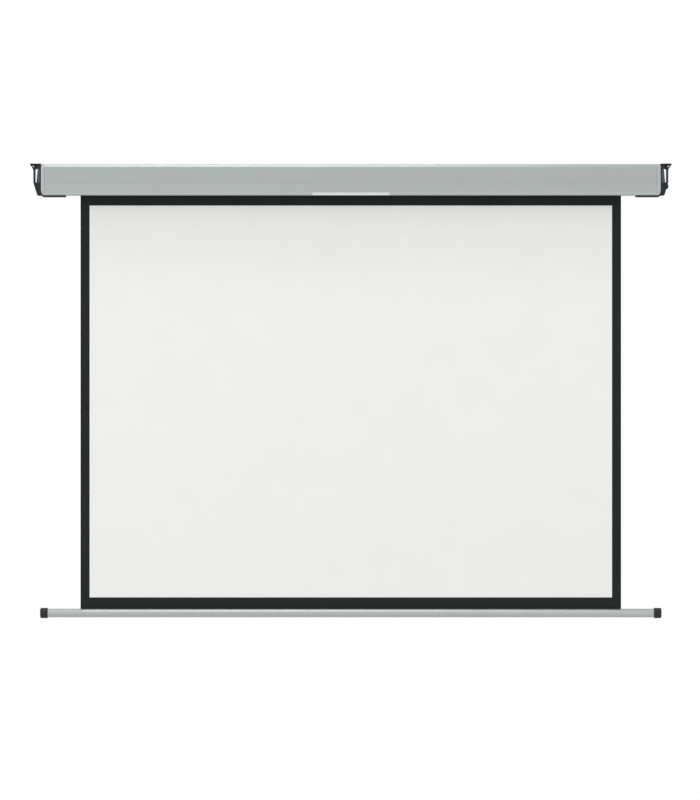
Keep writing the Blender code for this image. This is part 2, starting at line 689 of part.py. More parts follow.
def make_round_post(hanger, side):
    """Between the loop's collar and its block, the side wall's front edge is set back and half round."""
    radius = HANGER_SIDE_WALL / 2
    middle = HANGER_INSIDE + radius
    edge = HANGER_FRONT + HANGER_POST_SETBACK + radius
    low = HANGER_BLOCK_TOP
    high = HANGER_GAP_TOP
    space = box_outline(HANGER_INSIDE - PAST, HANGER_WALL_OUTSIDE + PAST, HANGER_FRONT - PAST, edge)
    combine(hanger, "DIFFERENCE", prism("Z", [space], low, high, side))
    nose = arc((middle, edge), radius, math.pi, 2 * math.pi, 8)
    nose = nose + [(HANGER_WALL_OUTSIDE, edge + SINK), (HANGER_INSIDE, edge + SINK)]
    combine(hanger, "UNION", prism("Z", [nose], low - SINK, high + SINK, side))


def make_hanger(side, name):
    cradle = prism("Y", [cradle_profile()], HANGER_FRONT, HANGER_WALL_FACE - SINK, side)
    hanger = add_object(name, cradle, BLACK_PLASTIC)
    make_round_post(hanger, side)

    flange = rounded([
        (HANGER_INSIDE, HANGER_FLANGE_FRONT, 0.002),
        (HANGER_TIP, HANGER_FLANGE_FRONT, 0.005),
        (HANGER_TIP, -HANGER_FLANGE_FRONT, 0.005),
        (HANGER_INSIDE, -HANGER_FLANGE_FRONT, 0.002),
    ])
    combine(hanger, "UNION", prism("Z", [flange], -HANGER_FLANGE_THICKNESS, 0, side))
    half = HANGER_LOOP_HALF_WIDTH
    combine(hanger, "UNION", prism("Y", loop_profile(), -half, half, side))

    back_inside = HANGER_INSIDE - HANGER_BACK_WIDTH
    back_outside = HANGER_WALL_OUTSIDE - SINK
    back = rounded([
        (back_inside, FOOT_BOTTOM + 0.0010, 0.002),
        (back_outside, FOOT_BOTTOM + 0.006, 0.002),
        (back_outside, HANGER_BACK_TOP, 0.006),
        (back_inside, HANGER_BACK_TOP, 0.006),
    ])
    combine(hanger, "UNION", prism("Y", [back], CASE_REAR + GAP, HANGER_WALL_FACE, side))

    for y in (-CEILING_HOLE_SPACING / 2, CEILING_HOLE_SPACING / 2):
        hole = circle((HANGER_TIP - HANGER_REACH / 2 + 0.0005, y), CEILING_HOLE_RADIUS, 16)
        combine(hanger, "DIFFERENCE", prism("Z", [hole], -0.012, PAST, side))
    slot_middle = AXIS_DROP - WALL_SLOT_BELOW_AXIS
    slot_radius = WALL_HOLE_RADIUS * 0.98
    for x in (HANGER_INSIDE - 0.045, HANGER_INSIDE - 0.015):
        low = slot_middle - WALL_SLOT_LENGTH / 2
        high = slot_middle + WALL_SLOT_LENGTH / 2
        slot = box_outline(x - WALL_HOLE_RADIUS, x + WALL_HOLE_RADIUS, low, high, slot_radius, 3)
        combine(hanger, "DIFFERENCE", prism("Y", [slot], CASE_REAR - PAST, HANGER_WALL_FACE + PAST, side))

    x = side * LOCK_SCREW_X
    below = FOOT_BOTTOM - PAST
    shank = circle((x, 0), LOCK_SCREW_RADIUS + GAP, 12)
    head = circle((x, 0), LOCK_SCREW_HEAD_RADIUS + GAP, 16)
    combine(hanger, "DIFFERENCE", prism("Z", [shank], below, CASE_BOTTOM + CAP_BOTTOM_RISE / 2))
    combine(hanger, "DIFFERENCE", prism("Z", [head], below, FOOT_BOTTOM + LOCK_SCREW_RECESS))
    if side > 0:
        bore = rod(CAP_OUTSIDE - PAST, HANGER_TIP, GLAND_SHANK_RADIUS + GAP, MEDIUM_STEPS)
        seat = rod(GLAND_SEAT, HANGER_TIP, GLAND_FLANGE_RADIUS + GAP, MEDIUM_STEPS)
        combine(hanger, "DIFFERENCE", move(bore, (0, 0, GLAND_DROP)))
        combine(hanger, "DIFFERENCE", move(seat, (0, 0, GLAND_DROP)))


def make_lock_screw(side, name):
    """Holds the case in the cradle, from under the foot."""
    top = CASE_BOTTOM + LOCK_SCREW_LENGTH - 0.002
    seat = FOOT_BOTTOM + LOCK_SCREW_RECESS - GAP
    bm = lathe([
        (FOOT_BOTTOM + 0.0001, 0),
        (FOOT_BOTTOM + 0.0001, LOCK_SCREW_HEAD_RADIUS - 0.0004),
        (FOOT_BOTTOM + 0.0005, LOCK_SCREW_HEAD_RADIUS),
        (seat, LOCK_SCREW_HEAD_RADIUS),
        (seat, LOCK_SCREW_RADIUS),
        (top - 0.001, LOCK_SCREW_RADIUS),
        (top, LOCK_SCREW_RADIUS * 0.6),
        (top, 0),
    ], 12)
    bmesh.ops.rotate(bm, verts=bm.verts, cent=(0, 0, 0), matrix=Matrix.Rotation(-math.pi / 2, 3, "Y"))
    add_object(name, move(bm, (side * LOCK_SCREW_X, 0, 0)), STEEL)


def make_gland():
    """The cable's way in: a hollow gland that clamps hanger and cap together, and its nut inside the case."""
    seat = GLAND_SEAT + GAP
    inside = CASE_HALF_LENGTH - GLAND_NUT_HEIGHT - 0.002
    body = lathe([
        (inside, GLAND_BORE_RADIUS),
        (inside, GLAND_SHANK_RADIUS),
        (seat, GLAND_SHANK_RADIUS),
        (seat, GLAND_FLANGE_RADIUS),
        (seat + GLAND_FLANGE_HEIGHT * 0.55, GLAND_FLANGE_RADIUS),
        (seat + GLAND_FLANGE_HEIGHT * 0.85, GLAND_FLANGE_RADIUS * 0.86),
        (seat + GLAND_FLANGE_HEIGHT, GLAND_FLANGE_RADIUS * 0.62),
        (seat + GLAND_FLANGE_HEIGHT, GLAND_BORE_RADIUS),
    ], MEDIUM_STEPS, closed=True)
    add_object("inlet_gland", move(body, (0, 0, GLAND_DROP)), BLACK_PLASTIC)
    hexagon = circle((0, GLAND_DROP), GLAND_NUT_RADIUS, 6)
    hole = circle((0, GLAND_DROP), GLAND_SHANK_RADIUS + GAP, MEDIUM_STEPS)
    nut = prism("X", [hexagon, hole], CASE_HALF_LENGTH - GLAND_NUT_HEIGHT, CASE_HALF_LENGTH)
    add_object("gland_nut", nut, BLACK_PLASTIC)


# Brackets, pin and motor, which stay still

def make_brackets():
    """Plates behind the caps: a round socket for the idler's pin, a square one for the motor's stud."""
    centre = (0, AXIS_DROP)
    half = BRACKET_HALF_SIDE
    low = AXIS_DROP - half
    plate = box_outline(-half, half, low, AXIS_DROP + half, 0.004)
    stud_reach = STUD_SIDE / 2 + GAP
    sockets = {
        -1: circle(centre, IDLER_PIN_RADIUS + GAP / 2, MEDIUM_STEPS),
        1: box_outline(-stud_reach, stud_reach, AXIS_DROP - stud_reach, AXIS_DROP + stud_reach),
    }
    hub_starts = {-1: TUBE_HALF_LENGTH + 0.012, 1: HEAD_END + 0.001}
    for side, word in ((-1, "idler"), (1, "motor")):
        outlines = [plate, sockets[side]]
        bm = prism("X", outlines, BRACKET_START, BRACKET_END, side)
        bracket = add_object(f"{word}_bracket", bm, GALVANISED)
        hub = [circle(centre, BRACKET_HUB_RADIUS, MEDIUM_STEPS), sockets[side]]
        combine(bracket, "UNION", prism("X", hub, hub_starts[side], BRACKET_START + SINK, side))
        behind = BRACKET_START - PAST
        beyond = BRACKET_END + PAST
        for offset in (-BRACKET_SCREW_OFFSET, BRACKET_SCREW_OFFSET):
            hole = rod(behind, beyond, BRACKET_SCREW_RADIUS + GAP, SMALL_STEPS, mirror=side)
            combine(bracket, "DIFFERENCE", move(hole, (0, offset, AXIS_DROP + offset)))
        if side > 0:
            reach = GLAND_NUT_RADIUS + RUN_GAP
            cable_notch = box_outline(-reach, reach, low - PAST, GLAND_DROP + reach, 0.002)
            combine(bracket, "DIFFERENCE", prism("X", [cable_notch], behind, beyond))


def make_idler_pin():
    start = TUBE_HALF_LENGTH - 0.032
    pin = rod(start, BRACKET_END - 0.001, IDLER_PIN_RADIUS, MEDIUM_STEPS, 0.0008, mirror=-1)
    add_object("idler_pin", pin, STEEL, (0, 0, AXIS_DROP))


def make_motor():
    """A tubular motor: its tube, the black head with a square stud, and its output shaft's bush."""
    place = (0, 0, AXIS_DROP)
    housing = ring(MOTOR_START, HEAD_START - GAP, MOTOR_BORE, MOTOR_RADIUS, LARGE_STEPS)
    add_object("motor_tube", housing, GALVANISED, place)

    neck = MOTOR_BORE - GAP
    neck_start = HEAD_START - 0.020
    edge = 0.002
    head = lathe([
        (neck_start, 0),
        (neck_start, neck),
        (HEAD_START, neck),
        (HEAD_START, HEAD_RADIUS),
        (HEAD_END - edge, HEAD_RADIUS),
        (HEAD_END, HEAD_RADIUS - edge),
        (HEAD_END, 0),
    ], LARGE_STEPS)
    head = add_object("motor_head", head, BLACK_PLASTIC, place)
    reach = STUD_SIDE / 2
    stud = box_outline(-reach, reach, -reach, reach, 0.001, 1)
    combine(head, "UNION", prism("X", [stud], HEAD_END - PAST, HEAD_END + STUD_LENGTH))
    for x in limit_screw_places():
        floor = HEAD_RADIUS - LIMIT_SCREW_LENGTH - 0.001
        well = rod(floor, HEAD_RADIUS + PAST, LIMIT_SCREW_RADIUS + GAP, 12)
        combine(head, "DIFFERENCE", move(point_down(well), (x, 0, 0)))

    bush_end = CARRIER_START - RUN_GAP
    bush_bore = OUTPUT_SHAFT_RADIUS + BEARING_PLAY
    bush = ring(MOTOR_START + 0.0005, bush_end, bush_bore, MOTOR_BORE - GAP, LARGE_STEPS)
    add_object("output_bearing", bush, BRASS, place)
    make_motor_units(place)


def make_motor_units(place):
    """What fills the tube behind the last gear stage: fast gear stages, brake, windings and capacitor."""
    fit = MOTOR_BORE - GAP
    start = GEARS_END + 0.006
    cartridge = lathe([
        (start, 0),
        (start, fit - 0.0022),
        (start + 0.002, fit),
        (start + 0.066, fit),
        (start + 0.068, fit - 0.0017),
        (start + 0.068, 0),
    ], MEDIUM_STEPS)
    cartridge = add_object("gearbox_cartridge", cartridge, GREY_NYLON, place)
    shaft_pocket = rod(start - PAST, start + 0.010, SUN_SHAFT_RADIUS + RUN_GAP, SMALL_STEPS)
    combine(cartridge, "DIFFERENCE", shaft_pocket)

    start = start + 0.078
    shoulder = fit - 0.0032
    brake = lathe([
        (start, 0),
        (start, shoulder),
        (start + 0.008, shoulder),
        (start + 0.008, fit),
        (start + 0.030, fit),
        (start + 0.030, 0),
    ], MEDIUM_STEPS)
    add_object("brake_unit", brake, STEEL, place)

    start = start + 0.040
    winding = fit - 0.0052
    stator = lathe([
        (start, 0),
        (start, winding),
        (start + 0.012, shoulder),
        (start + 0.012, fit),
        (start + 0.092, fit),
        (start + 0.092, shoulder),
        (start + 0.104, winding),
        (start + 0.104, 0),
    ], MEDIUM_STEPS)
    add_object("stator_pack", stator, STEEL, place)

    start = start + 0.116
    capacitor = rod(start, start + 0.060, fit - 0.0027, MEDIUM_STEPS, 0.0012)
    add_object("capacitor", capacitor, WHITE_PLASTIC, place)


def limit_screw_places():
    middle = (HEAD_START + HEAD_END) / 2
    return (middle - LIMIT_SCREW_SPACING / 2, middle + LIMIT_SCREW_SPACING / 2)


def point_down(bm):
    """Turns what lies along +X to the screws' direction: down, leaning back toward the slot in the case."""
    down = Vector((0, math.sin(LIMIT_SCREW_TILT), -math.cos(LIMIT_SCREW_TILT)))
    turn = Vector((1, 0, 0)).rotation_difference(down).to_matrix()
    bmesh.ops.rotate(bm, verts=bm.verts, cent=(0, 0, 0), matrix=turn)
    return bm


def make_limit_screws():
    """Screws with a hexagon socket that set where the screen stops."""
    end = HEAD_RADIUS - 0.0005
    for x, name in zip(limit_screw_places(), ("upper_limit_screw", "lower_limit_screw")):
        shank = rod(end - LIMIT_SCREW_LENGTH, end, LIMIT_SCREW_RADIUS, 12)
        limit_screw = add_object(name, point_down(shank), YELLOW_PLASTIC, (x, 0, AXIS_DROP))
        socket = prism("X", [circle((0, 0), LIMIT_KEY_RADIUS, 6)], end - LIMIT_KEY_DEPTH, end + PAST)
        combine(limit_screw, "DIFFERENCE", point_down(socket))


# Gears

def involute(angle):
    return math.tan(angle) - angle


def flank(teeth, inner, outer, extra, steps):
    """Half a tooth's width, as an angle, at radii from inner to outer. extra is added at the pitch circle."""
    pitch = GEAR_MODULE * teeth / 2
    base = pitch * math.cos(PRESSURE_ANGLE)
    half = math.pi / (2 * teeth) + extra / pitch + involute(PRESSURE_ANGLE)
    points = []
    for i in range(steps + 1):
        radius = inner + (outer - inner) * i / steps
        on_base = max(radius, base)
        points.append((radius, half - involute(math.acos(base / on_base))))
    return points


def gear_outline(teeth, phase, root, tip, extra, steps=3):
    """A toothed outline in (y, z). For a ring gear the teeth are its spaces."""
    one_flank = flank(teeth, root, tip, extra, steps)
    outline = []
    for tooth in range(teeth):
        middle = phase + 2 * math.pi * tooth / teeth
        for radius, half in one_flank:
            outline.append((radius * math.cos(middle - half), radius * math.sin(middle - half)))
        for radius, half in reversed(one_flank):
            outline.append((radius * math.cos(middle + half), radius * math.sin(middle + half)))
    return outline


def planet_angle(i):
    return math.pi / 2 + 2 * math.pi * i / PLANETS


def planet_centre(i):
    angle = planet_angle(i)
    return (0, PLANET_ORBIT * math.cos(angle), PLANET_ORBIT * math.sin(angle))


def make_gears(winding_axis):
    """The last stage: the sun drives three planets in the fixed ring, and their carrier turns the tube."""
    root = SUN_PITCH - DEDENDUM * GEAR_MODULE
    tip = SUN_PITCH + ADDENDUM * GEAR_MODULE
    sun_axis = joint_axis("sun_axis", (0, 0, AXIS_DROP))
    sun_outline = gear_outline(SUN_TEETH, 0, root, tip, -FLANK_BACKLASH)
    sun = prism("X", [sun_outline], GEARS_START, GEARS_END + RUN_GAP)
    sun = add_object("sun_gear", sun, STEEL, parent=sun_axis)
    combine(sun, "UNION", rod(GEARS_END - SINK, GEARS_END + 0.013, SUN_SHAFT_RADIUS, SMALL_STEPS))

    ring_root = RING_PITCH - ADDENDUM * GEAR_MODULE
    ring_tip = RING_PITCH + DEDENDUM * GEAR_MODULE
    ring_phase = math.pi / 2 + math.pi / RING_TEETH
    spaces = gear_outline(RING_TEETH, ring_phase, ring_root, ring_tip, FLANK_BACKLASH, 2)
    outer = circle((0, 0), MOTOR_BORE - GAP, RING_TEETH)
    ring_gear = prism("X", [outer, spaces], GEARS_START - 0.0005, GEARS_END + 0.0005)
    add_object("ring_gear", ring_gear, STEEL, (0, 0, AXIS_DROP))

    for i in range(PLANETS):
        axis = joint_axis(f"planet_axis_{i + 1}", planet_centre(i))
        axis.parent = winding_axis
        phase = planet_angle(i) + math.pi + math.pi / PLANET_TEETH
        teeth = gear_outline(PLANET_TEETH, phase, root, tip, -FLANK_BACKLASH)
        bore = circle((0, 0), PLANET_PIN_RADIUS + 0.0001, 12)
        planet = prism("X", [teeth, bore], GEARS_START, GEARS_END)
        add_object(f"planet_gear_{i + 1}", planet, STEEL, parent=axis)

    wheel_end = MOTOR_START - 0.006
    wheel_start = wheel_end - DRIVE_WHEEL_WIDTH
    make_output_shaft(winding_axis, wheel_start, wheel_end)
    make_drive_wheel(winding_axis, wheel_start, wheel_end)


def make_output_shaft(winding_axis, wheel_start, wheel_end):
    """The carrier with its three pins, and the shaft with the drive wheel's flat and a clip in its groove."""
    start = wheel_start - 0.006
    carrier_end = CARRIER_START + CARRIER_THICKNESS
    carrier_radius = RING_PITCH - 0.0010
    edge = 0.0006
    shaft = lathe([
        (start, 0),
        (start, OUTPUT_SHAFT_RADIUS - edge),
        (start + edge, OUTPUT_SHAFT_RADIUS),
        (CARRIER_START, OUTPUT_SHAFT_RADIUS),
        (CARRIER_START, carrier_radius),
        (carrier_end, carrier_radius),
        (carrier_end, 0),
    ], LARGE_STEPS)
    shaft = add_object("output_shaft", shaft, STEEL, parent=winding_axis)
    for i in range(PLANETS):
        pin = rod(CARRIER_START + SINK, GEARS_END + 0.0010, PLANET_PIN_RADIUS, 12)
        combine(shaft, "UNION", move(pin, planet_centre(i)))

    groove_start = start + 0.0020
    groove_floor = OUTPUT_SHAFT_RADIUS - CLIP_GROOVE_DEPTH
    groove = ring(groove_start, groove_start + 0.0014, groove_floor, OUTPUT_SHAFT_RADIUS + PAST, LARGE_STEPS)
    combine(shaft, "DIFFERENCE", groove)
    reach = OUTPUT_SHAFT_RADIUS + PAST
    flat = box_outline(-reach, reach, OUTPUT_SHAFT_RADIUS - SHAFT_FLAT_DEPTH, reach)
    combine(shaft, "DIFFERENCE", prism("X", [flat], start - PAST, wheel_end + 0.001))

    first = math.radians(-50)
    last = math.radians(230)
    outer = arc((0, 0), OUTPUT_SHAFT_RADIUS + 0.0025, first, last, 16)
    inner = arc((0, 0), groove_floor + GAP, last, first, 16)
    clip_start = groove_start + GAP
    clip = prism("X", [outer + inner], clip_start, clip_start + 0.0008)
    add_object("shaft_clip", clip, STEEL, parent=winding_axis)


# Winding tube and what turns with it

def channel_outline(grow=0.0):
    """The keyed channel's sides in (y, z), at the top of the tube, grown by a clearance."""
    mouth = CHANNEL_MOUTH / 2 - grow
    wide = CHANNEL_WIDTH / 2 - grow
    lip = TUBE_RADIUS - CHANNEL_LIP - grow
    floor = TUBE_RADIUS - CHANNEL_DEPTH + grow
    return mouth, wide, lip, floor


def make_tube(winding_axis):
    mouth, wide, lip, floor = channel_outline()
    open_angle = math.asin(mouth / TUBE_RADIUS)
    outside = arc((0, 0), TUBE_RADIUS, math.pi / 2 + open_angle, math.pi / 2 + 2 * math.pi - open_angle, 36)
    outer = outside + [(mouth, lip), (wide, lip), (wide, floor), (-wide, floor), (-wide, lip), (-mouth, lip)]
    bump = wide + CHANNEL_WALL
    bump_angle = math.asin(bump / TUBE_BORE)
    bore = arc((0, 0), TUBE_BORE, math.pi / 2 + bump_angle, math.pi / 2 + 2 * math.pi - bump_angle, 34)
    inner = bore + [(bump, floor - CHANNEL_WALL), (-bump, floor - CHANNEL_WALL)]
    tube = prism("X", [outer, inner], -TUBE_HALF_LENGTH, TUBE_HALF_LENGTH)
    add_object("roller_tube", tube, ALUMINIUM, parent=winding_axis)

    mouth, wide, lip, floor = channel_outline(GAP)
    strip = [(mouth, TUBE_RADIUS - GAP), (mouth, lip), (wide, lip), (wide, floor),
             (-wide, floor), (-wide, lip), (-mouth, lip), (-mouth, TUBE_RADIUS - GAP)]
    spline = prism("X", [strip], -FABRIC_HALF_WIDTH, FABRIC_HALF_WIDTH)
    add_object("fabric_spline", spline, WHITE_PLASTIC, parent=winding_axis)


def keyed_disc():
    """A disc that fits the tube's bore, with a notch for the channel."""
    half = CHANNEL_WIDTH / 2 + CHANNEL_WALL + GAP
    depth = TUBE_RADIUS - CHANNEL_DEPTH - CHANNEL_WALL - GAP
    start = math.pi / 2 + math.asin(half / KEYED_RADIUS)
    rim = arc((0, 0), KEYED_RADIUS, start, 3 * math.pi - start, LARGE_STEPS)
    return rim + [(half, depth), (-half, depth)]


def make_drive_wheel(winding_axis, start, end):
    """Fits the shaft's flat and the tube's channel, with five windows between hub and rim."""
    bore_radius = OUTPUT_SHAFT_RADIUS + GAP
    flat = OUTPUT_SHAFT_RADIUS - SHAFT_FLAT_DEPTH + GAP
    first = math.pi / 2 + math.acos(flat / bore_radius)
    bore = arc((0, 0), bore_radius, first, 3 * math.pi - first, LARGE_STEPS)
    windows = []
    for i in range(5):
        middle = math.pi / 2 + 2 * math.pi * (i + 0.5) / 5
        outer = arc((0, 0), KEYED_RADIUS - 0.0044, middle - 0.40, middle + 0.40, 5)
        inner = arc((0, 0), OUTPUT_SHAFT_RADIUS + 0.0040, middle + 0.30, middle - 0.30, 3)
        windows.append(outer + inner)
    wheel = prism("X", [keyed_disc(), bore] + windows, start, end)
    add_object("drive_wheel", wheel, GREY_NYLON, parent=winding_axis)


def make_crown_ring(winding_axis):
    """Lets the tube turn on the motor's housing at the motor's end."""
    bore = circle((0, 0), MOTOR_RADIUS + CROWN_PLAY, LARGE_STEPS)
    crown = prism("X", [keyed_disc(), bore], TUBE_HALF_LENGTH - 0.020, TUBE_HALF_LENGTH - GAP)
    add_object("crown_ring", crown, GREY_NYLON, parent=winding_axis)


def make_idler(winding_axis):
    """The plug in the tube's left end, with a collar against its edge, and its bush."""
    bush_radius = IDLER_PIN_RADIUS + IDLER_BUSH_WALL
    bore = circle((0, 0), bush_radius + GAP, MEDIUM_STEPS)
    plug = prism("X", [keyed_disc(), bore], TUBE_HALF_LENGTH - 0.045, TUBE_HALF_LENGTH + 0.0005, -1)
    plug = add_object("idler_plug", plug, GREY_NYLON, parent=winding_axis)
    collar = circle((0, 0), TUBE_RADIUS + 0.0008, LARGE_STEPS)
    collar_end = TUBE_HALF_LENGTH + 0.0040
    combine(plug, "UNION", prism("X", [collar, bore], TUBE_HALF_LENGTH + GAP, collar_end, -1))
    bush_bore = IDLER_PIN_RADIUS + BEARING_PLAY
    bush = ring(TUBE_HALF_LENGTH - 0.030, collar_end, bush_bore, bush_radius, MEDIUM_STEPS, -1)
    add_object("idler_bearing", bush, BRASS, parent=winding_axis)


def make_fabric_roll(winding_axis):
    """The turns that never leave the tube, one spiral strip that ends where the fabric drops off behind."""
    steps = 20 * STAYING_TURNS
    inside = []
    outside = []
    for i in range(steps + 1):
        angle = 2 * math.pi * STAYING_TURNS * (1 - i / steps)
        radius = TUBE_RADIUS + GAP + STAYING_TURNS * TURN_PITCH * i / steps
        inside.append((radius * math.cos(angle), radius * math.sin(angle)))
        outer = radius + FABRIC_THICKNESS
        outside.append((outer * math.cos(angle), outer * math.sin(angle)))
    roll = prism("X", [inside + outside[::-1]], -FABRIC_HALF_WIDTH, FABRIC_HALF_WIDTH)
    add_object("fabric_roll", roll, WHITE_FABRIC, parent=winding_axis)


# Fabric and bottom bar

def make_fabric():
    """The hanging sheet, from the roll's tangent down to the mouth of the bar's slot."""
    low = BAR_TOP - 0.0004
    high = AXIS_DROP - GAP
    sheet = box_outline(-FABRIC_HALF_WIDTH, FABRIC_HALF_WIDTH, low, high)
    bm = prism("Y", [sheet], FABRIC_FRONT, FABRIC_FRONT + FABRIC_THICKNESS)
    add_object("screen_fabric", bm, WHITE_FABRIC)


def make_bar(bar_carriage):
    tube = rod(-BAR_HALF_LENGTH, BAR_HALF_LENGTH, BAR_RADIUS, BAR_STEPS)
    tube = add_object("bar_tube", tube, ALUMINIUM, parent=bar_carriage)
    past = BAR_HALF_LENGTH + PAST
    ballast_bore = move(rod(-past, past, BALLAST_BORE_RADIUS, 20), (0, 0, -BALLAST_BORE_DROP))
    hem_channel = move(rod(-past, past, HEM_CHANNEL_RADIUS, MEDIUM_STEPS), (0, 0, HEM_CHANNEL_RISE))
    half = HEM_SLOT_WIDTH / 2
    slot = prism("X", [box_outline(-half, half, HEM_CHANNEL_RISE, BAR_RADIUS + PAST)], -past, past)
    combine(tube, "DIFFERENCE", ballast_bore)
    combine(tube, "DIFFERENCE", hem_channel)
    combine(tube, "DIFFERENCE", slot)
    seam = FABRIC_HALF_WIDTH - BAR_SEAM_INSET
    for side in (-1, 1):
        floor = BAR_RADIUS - BAR_SEAM_DEPTH
        cut = ring(seam, seam + BAR_SEAM_WIDTH, floor, BAR_RADIUS + PAST, BAR_STEPS, side)
        combine(tube, "DIFFERENCE", cut)

    ballast = rod(-FABRIC_HALF_WIDTH, FABRIC_HALF_WIDTH, BALLAST_RADIUS, 20, 0.0008)
    add_object("bar_weight", move(ballast, (0, 0, -BALLAST_BORE_DROP)), STEEL, parent=bar_carriage)
    hem_rod = rod(-FABRIC_HALF_WIDTH, FABRIC_HALF_WIDTH, HEM_ROD_RADIUS, 16)
    add_object("hem_rod", move(hem_rod, (0, 0, HEM_CHANNEL_RISE)), GREY_NYLON, parent=bar_carriage)


def make_hem(bar_carriage):
    """The fabric's lower end, folded round the rod: two leaves in the slot and a loop in the channel."""
    inner = HEM_ROD_RADIUS + GAP
    outer = inner + FABRIC_THICKNESS
    half = FABRIC_THICKNESS
    top = BAR_RADIUS - 0.0010
    lean = math.asin(half / outer)
    around = arc((0, HEM_CHANNEL_RISE), outer, math.pi / 2 + lean, math.pi / 2 + 2 * math.pi - lean, 20)
    outline = around + [(half, top), (-half, top)]
    hole = circle((0, HEM_CHANNEL_RISE), inner, 16)
    hem = prism("X", [outline, hole], -FABRIC_HALF_WIDTH, FABRIC_HALF_WIDTH)
    add_object("fabric_hem", hem, WHITE_FABRIC, parent=bar_carriage)


def make_bar_cap(side, name, bar_carriage):
    """A turned cup that slips over the bar's end."""
    bottom = BAR_HALF_LENGTH + GAP
    end = bottom + BAR_CAP_END_WALL
    start = end - BAR_CAP_LENGTH
    edge = BAR_CAP_EDGE_RADIUS
    crown = arc((end - edge, BAR_CAP_RADIUS - edge), edge, math.pi / 2, 0, 3)
    profile = [
        (bottom, 0),
        (bottom, BAR_CAP_BORE),
        (start, BAR_CAP_BORE),
        (start, BAR_CAP_RADIUS - 0.0006),
        (start + 0.0006, BAR_CAP_RADIUS),
    ] + crown + [(end, 0)]
    add_object(name, lathe(profile, BAR_STEPS, mirror=side), BLACK_PLASTIC, parent=bar_carriage)


def build():
    clear_scene()
    make_case()
    make_lip_strip()
    for side, word in ((-1, "left"), (1, "right")):
        make_end_cap(side, f"{word}_end_cap")
        make_cap_screws(side, word)
        make_hanger(side, f"{word}_hanger")
        make_lock_screw(side, f"{word}_lock_screw")
    make_gland()
    make_brackets()
    make_idler_pin()
    make_motor()
    make_limit_screws()

    winding_axis = joint_axis("winding_axis", (0, 0, AXIS_DROP))
    make_gears(winding_axis)
    make_tube(winding_axis)
    make_crown_ring(winding_axis)
    make_idler(winding_axis)
    make_fabric_roll(winding_axis)

    make_fabric()
    bar_carriage = joint_axis("bar_carriage", (0, FABRIC_Y, BAR_Z))
    make_bar(bar_carriage)
    make_hem(bar_carriage)
    make_bar_cap(-1, "left_bar_cap", bar_carriage)
    make_bar_cap(1, "right_bar_cap", bar_carriage)


build()
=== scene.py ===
"""The motorized screen, lowered: its finer pieces, finishes, light and camera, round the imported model.

Metres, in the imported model's frame: z = 0 is the ceiling, the viewer stands at -Y and X runs to their right.
"""

import math

import bmesh
import bpy
from mathutils import Matrix, Vector


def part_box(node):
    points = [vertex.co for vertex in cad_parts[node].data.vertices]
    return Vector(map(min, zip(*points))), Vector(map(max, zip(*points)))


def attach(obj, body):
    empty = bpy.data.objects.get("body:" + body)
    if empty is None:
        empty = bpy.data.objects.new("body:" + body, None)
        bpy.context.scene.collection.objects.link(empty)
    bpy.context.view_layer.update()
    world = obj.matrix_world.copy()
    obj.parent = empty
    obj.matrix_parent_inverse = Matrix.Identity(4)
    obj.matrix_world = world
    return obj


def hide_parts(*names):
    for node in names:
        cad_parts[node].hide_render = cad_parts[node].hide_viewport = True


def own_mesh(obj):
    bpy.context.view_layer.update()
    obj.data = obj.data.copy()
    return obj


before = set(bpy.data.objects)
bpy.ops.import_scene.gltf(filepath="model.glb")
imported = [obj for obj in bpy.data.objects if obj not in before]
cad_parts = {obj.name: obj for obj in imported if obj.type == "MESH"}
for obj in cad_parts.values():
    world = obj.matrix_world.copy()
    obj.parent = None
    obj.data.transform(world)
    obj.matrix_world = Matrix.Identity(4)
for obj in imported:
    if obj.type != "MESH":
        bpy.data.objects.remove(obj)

# Allowances: what counts as touching, a fitting gap, how far a cut runs past, how far a joined shape sinks in
TINY = 0.000001
GAP = 0.0003
PAST = 0.002
SINK = 0.001

# Edges between faces that meet at more than this angle stay sharp
SHARP_ANGLE = math.radians(35)

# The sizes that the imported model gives
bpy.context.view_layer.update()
case_low, case_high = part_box("case_shell")
cap_low, cap_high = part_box("right_end_cap")
hanger_low, hanger_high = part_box("right_hanger")
fabric_low, fabric_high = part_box("screen_fabric")
tube_low, tube_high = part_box("roller_tube")
bar_low, bar_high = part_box("bar_tube")
bar_cap_low, bar_cap_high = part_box("right_bar_cap")
gland_low, gland_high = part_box("inlet_gland")

# Case
CASE_HALF = case_high.x
CASE_TOP = case_high.z
CASE_BOTTOM = case_low.z
CASE_REAR = case_high.y
CASE_FRONT = case_low.y + 0.0010
CASE_WALL = 0.0018
FRONT_WALL_EXTRA = 0.0008
CASE_REAR_RADIUS = 0.0025
CASE_INNER_RADIUS = 0.0010
CRISP_RADIUS = 0.0001
BROW_HEIGHT = 0.0076
BROW_DEPTH = 0.0055
BROW_RADIUS = 0.0025
LIP_TOP = CASE_BOTTOM + 0.0075
LIP_FRONT = CASE_FRONT - 0.0012
LIP_RADIUS = 0.0016
LIP_LEAN = 0.0006
LIP_LEAN_HEIGHT = 0.0028
LIP_LEAN_RADIUS = 0.0020
GROOVE_DEPTH = 0.0006
BAND_FRONT = CASE_FRONT - 0.0008
BAND_BOTTOM = LIP_TOP + 0.0003
BAND_TOP = LIP_TOP + 0.0223
BAND_TOP_STEP = 0.0002
BAND_TOP_RADIUS = 0.0003
HOLLOW_HEIGHT = 0.012
HOLLOW_DEPTH = 0.0002
HOLLOW_RADIUS = 0.10
SLOT_LIP = 0.005
SLOT_LIP_RADIUS = 0.0006
SLOT_CORNER_RADIUS = 0.0012
STRIP_CORNER_RADIUS = 0.0012
STRIP_EDGE = 0.0003
PORT_INSET = 0.0049
PORT_BEHIND_BROW = 0.0011
PORT_OUTER = 0.0034
PORT_BORE = 0.0017
PORT_OPENING = math.radians(56)
PORT_STEPS = 20

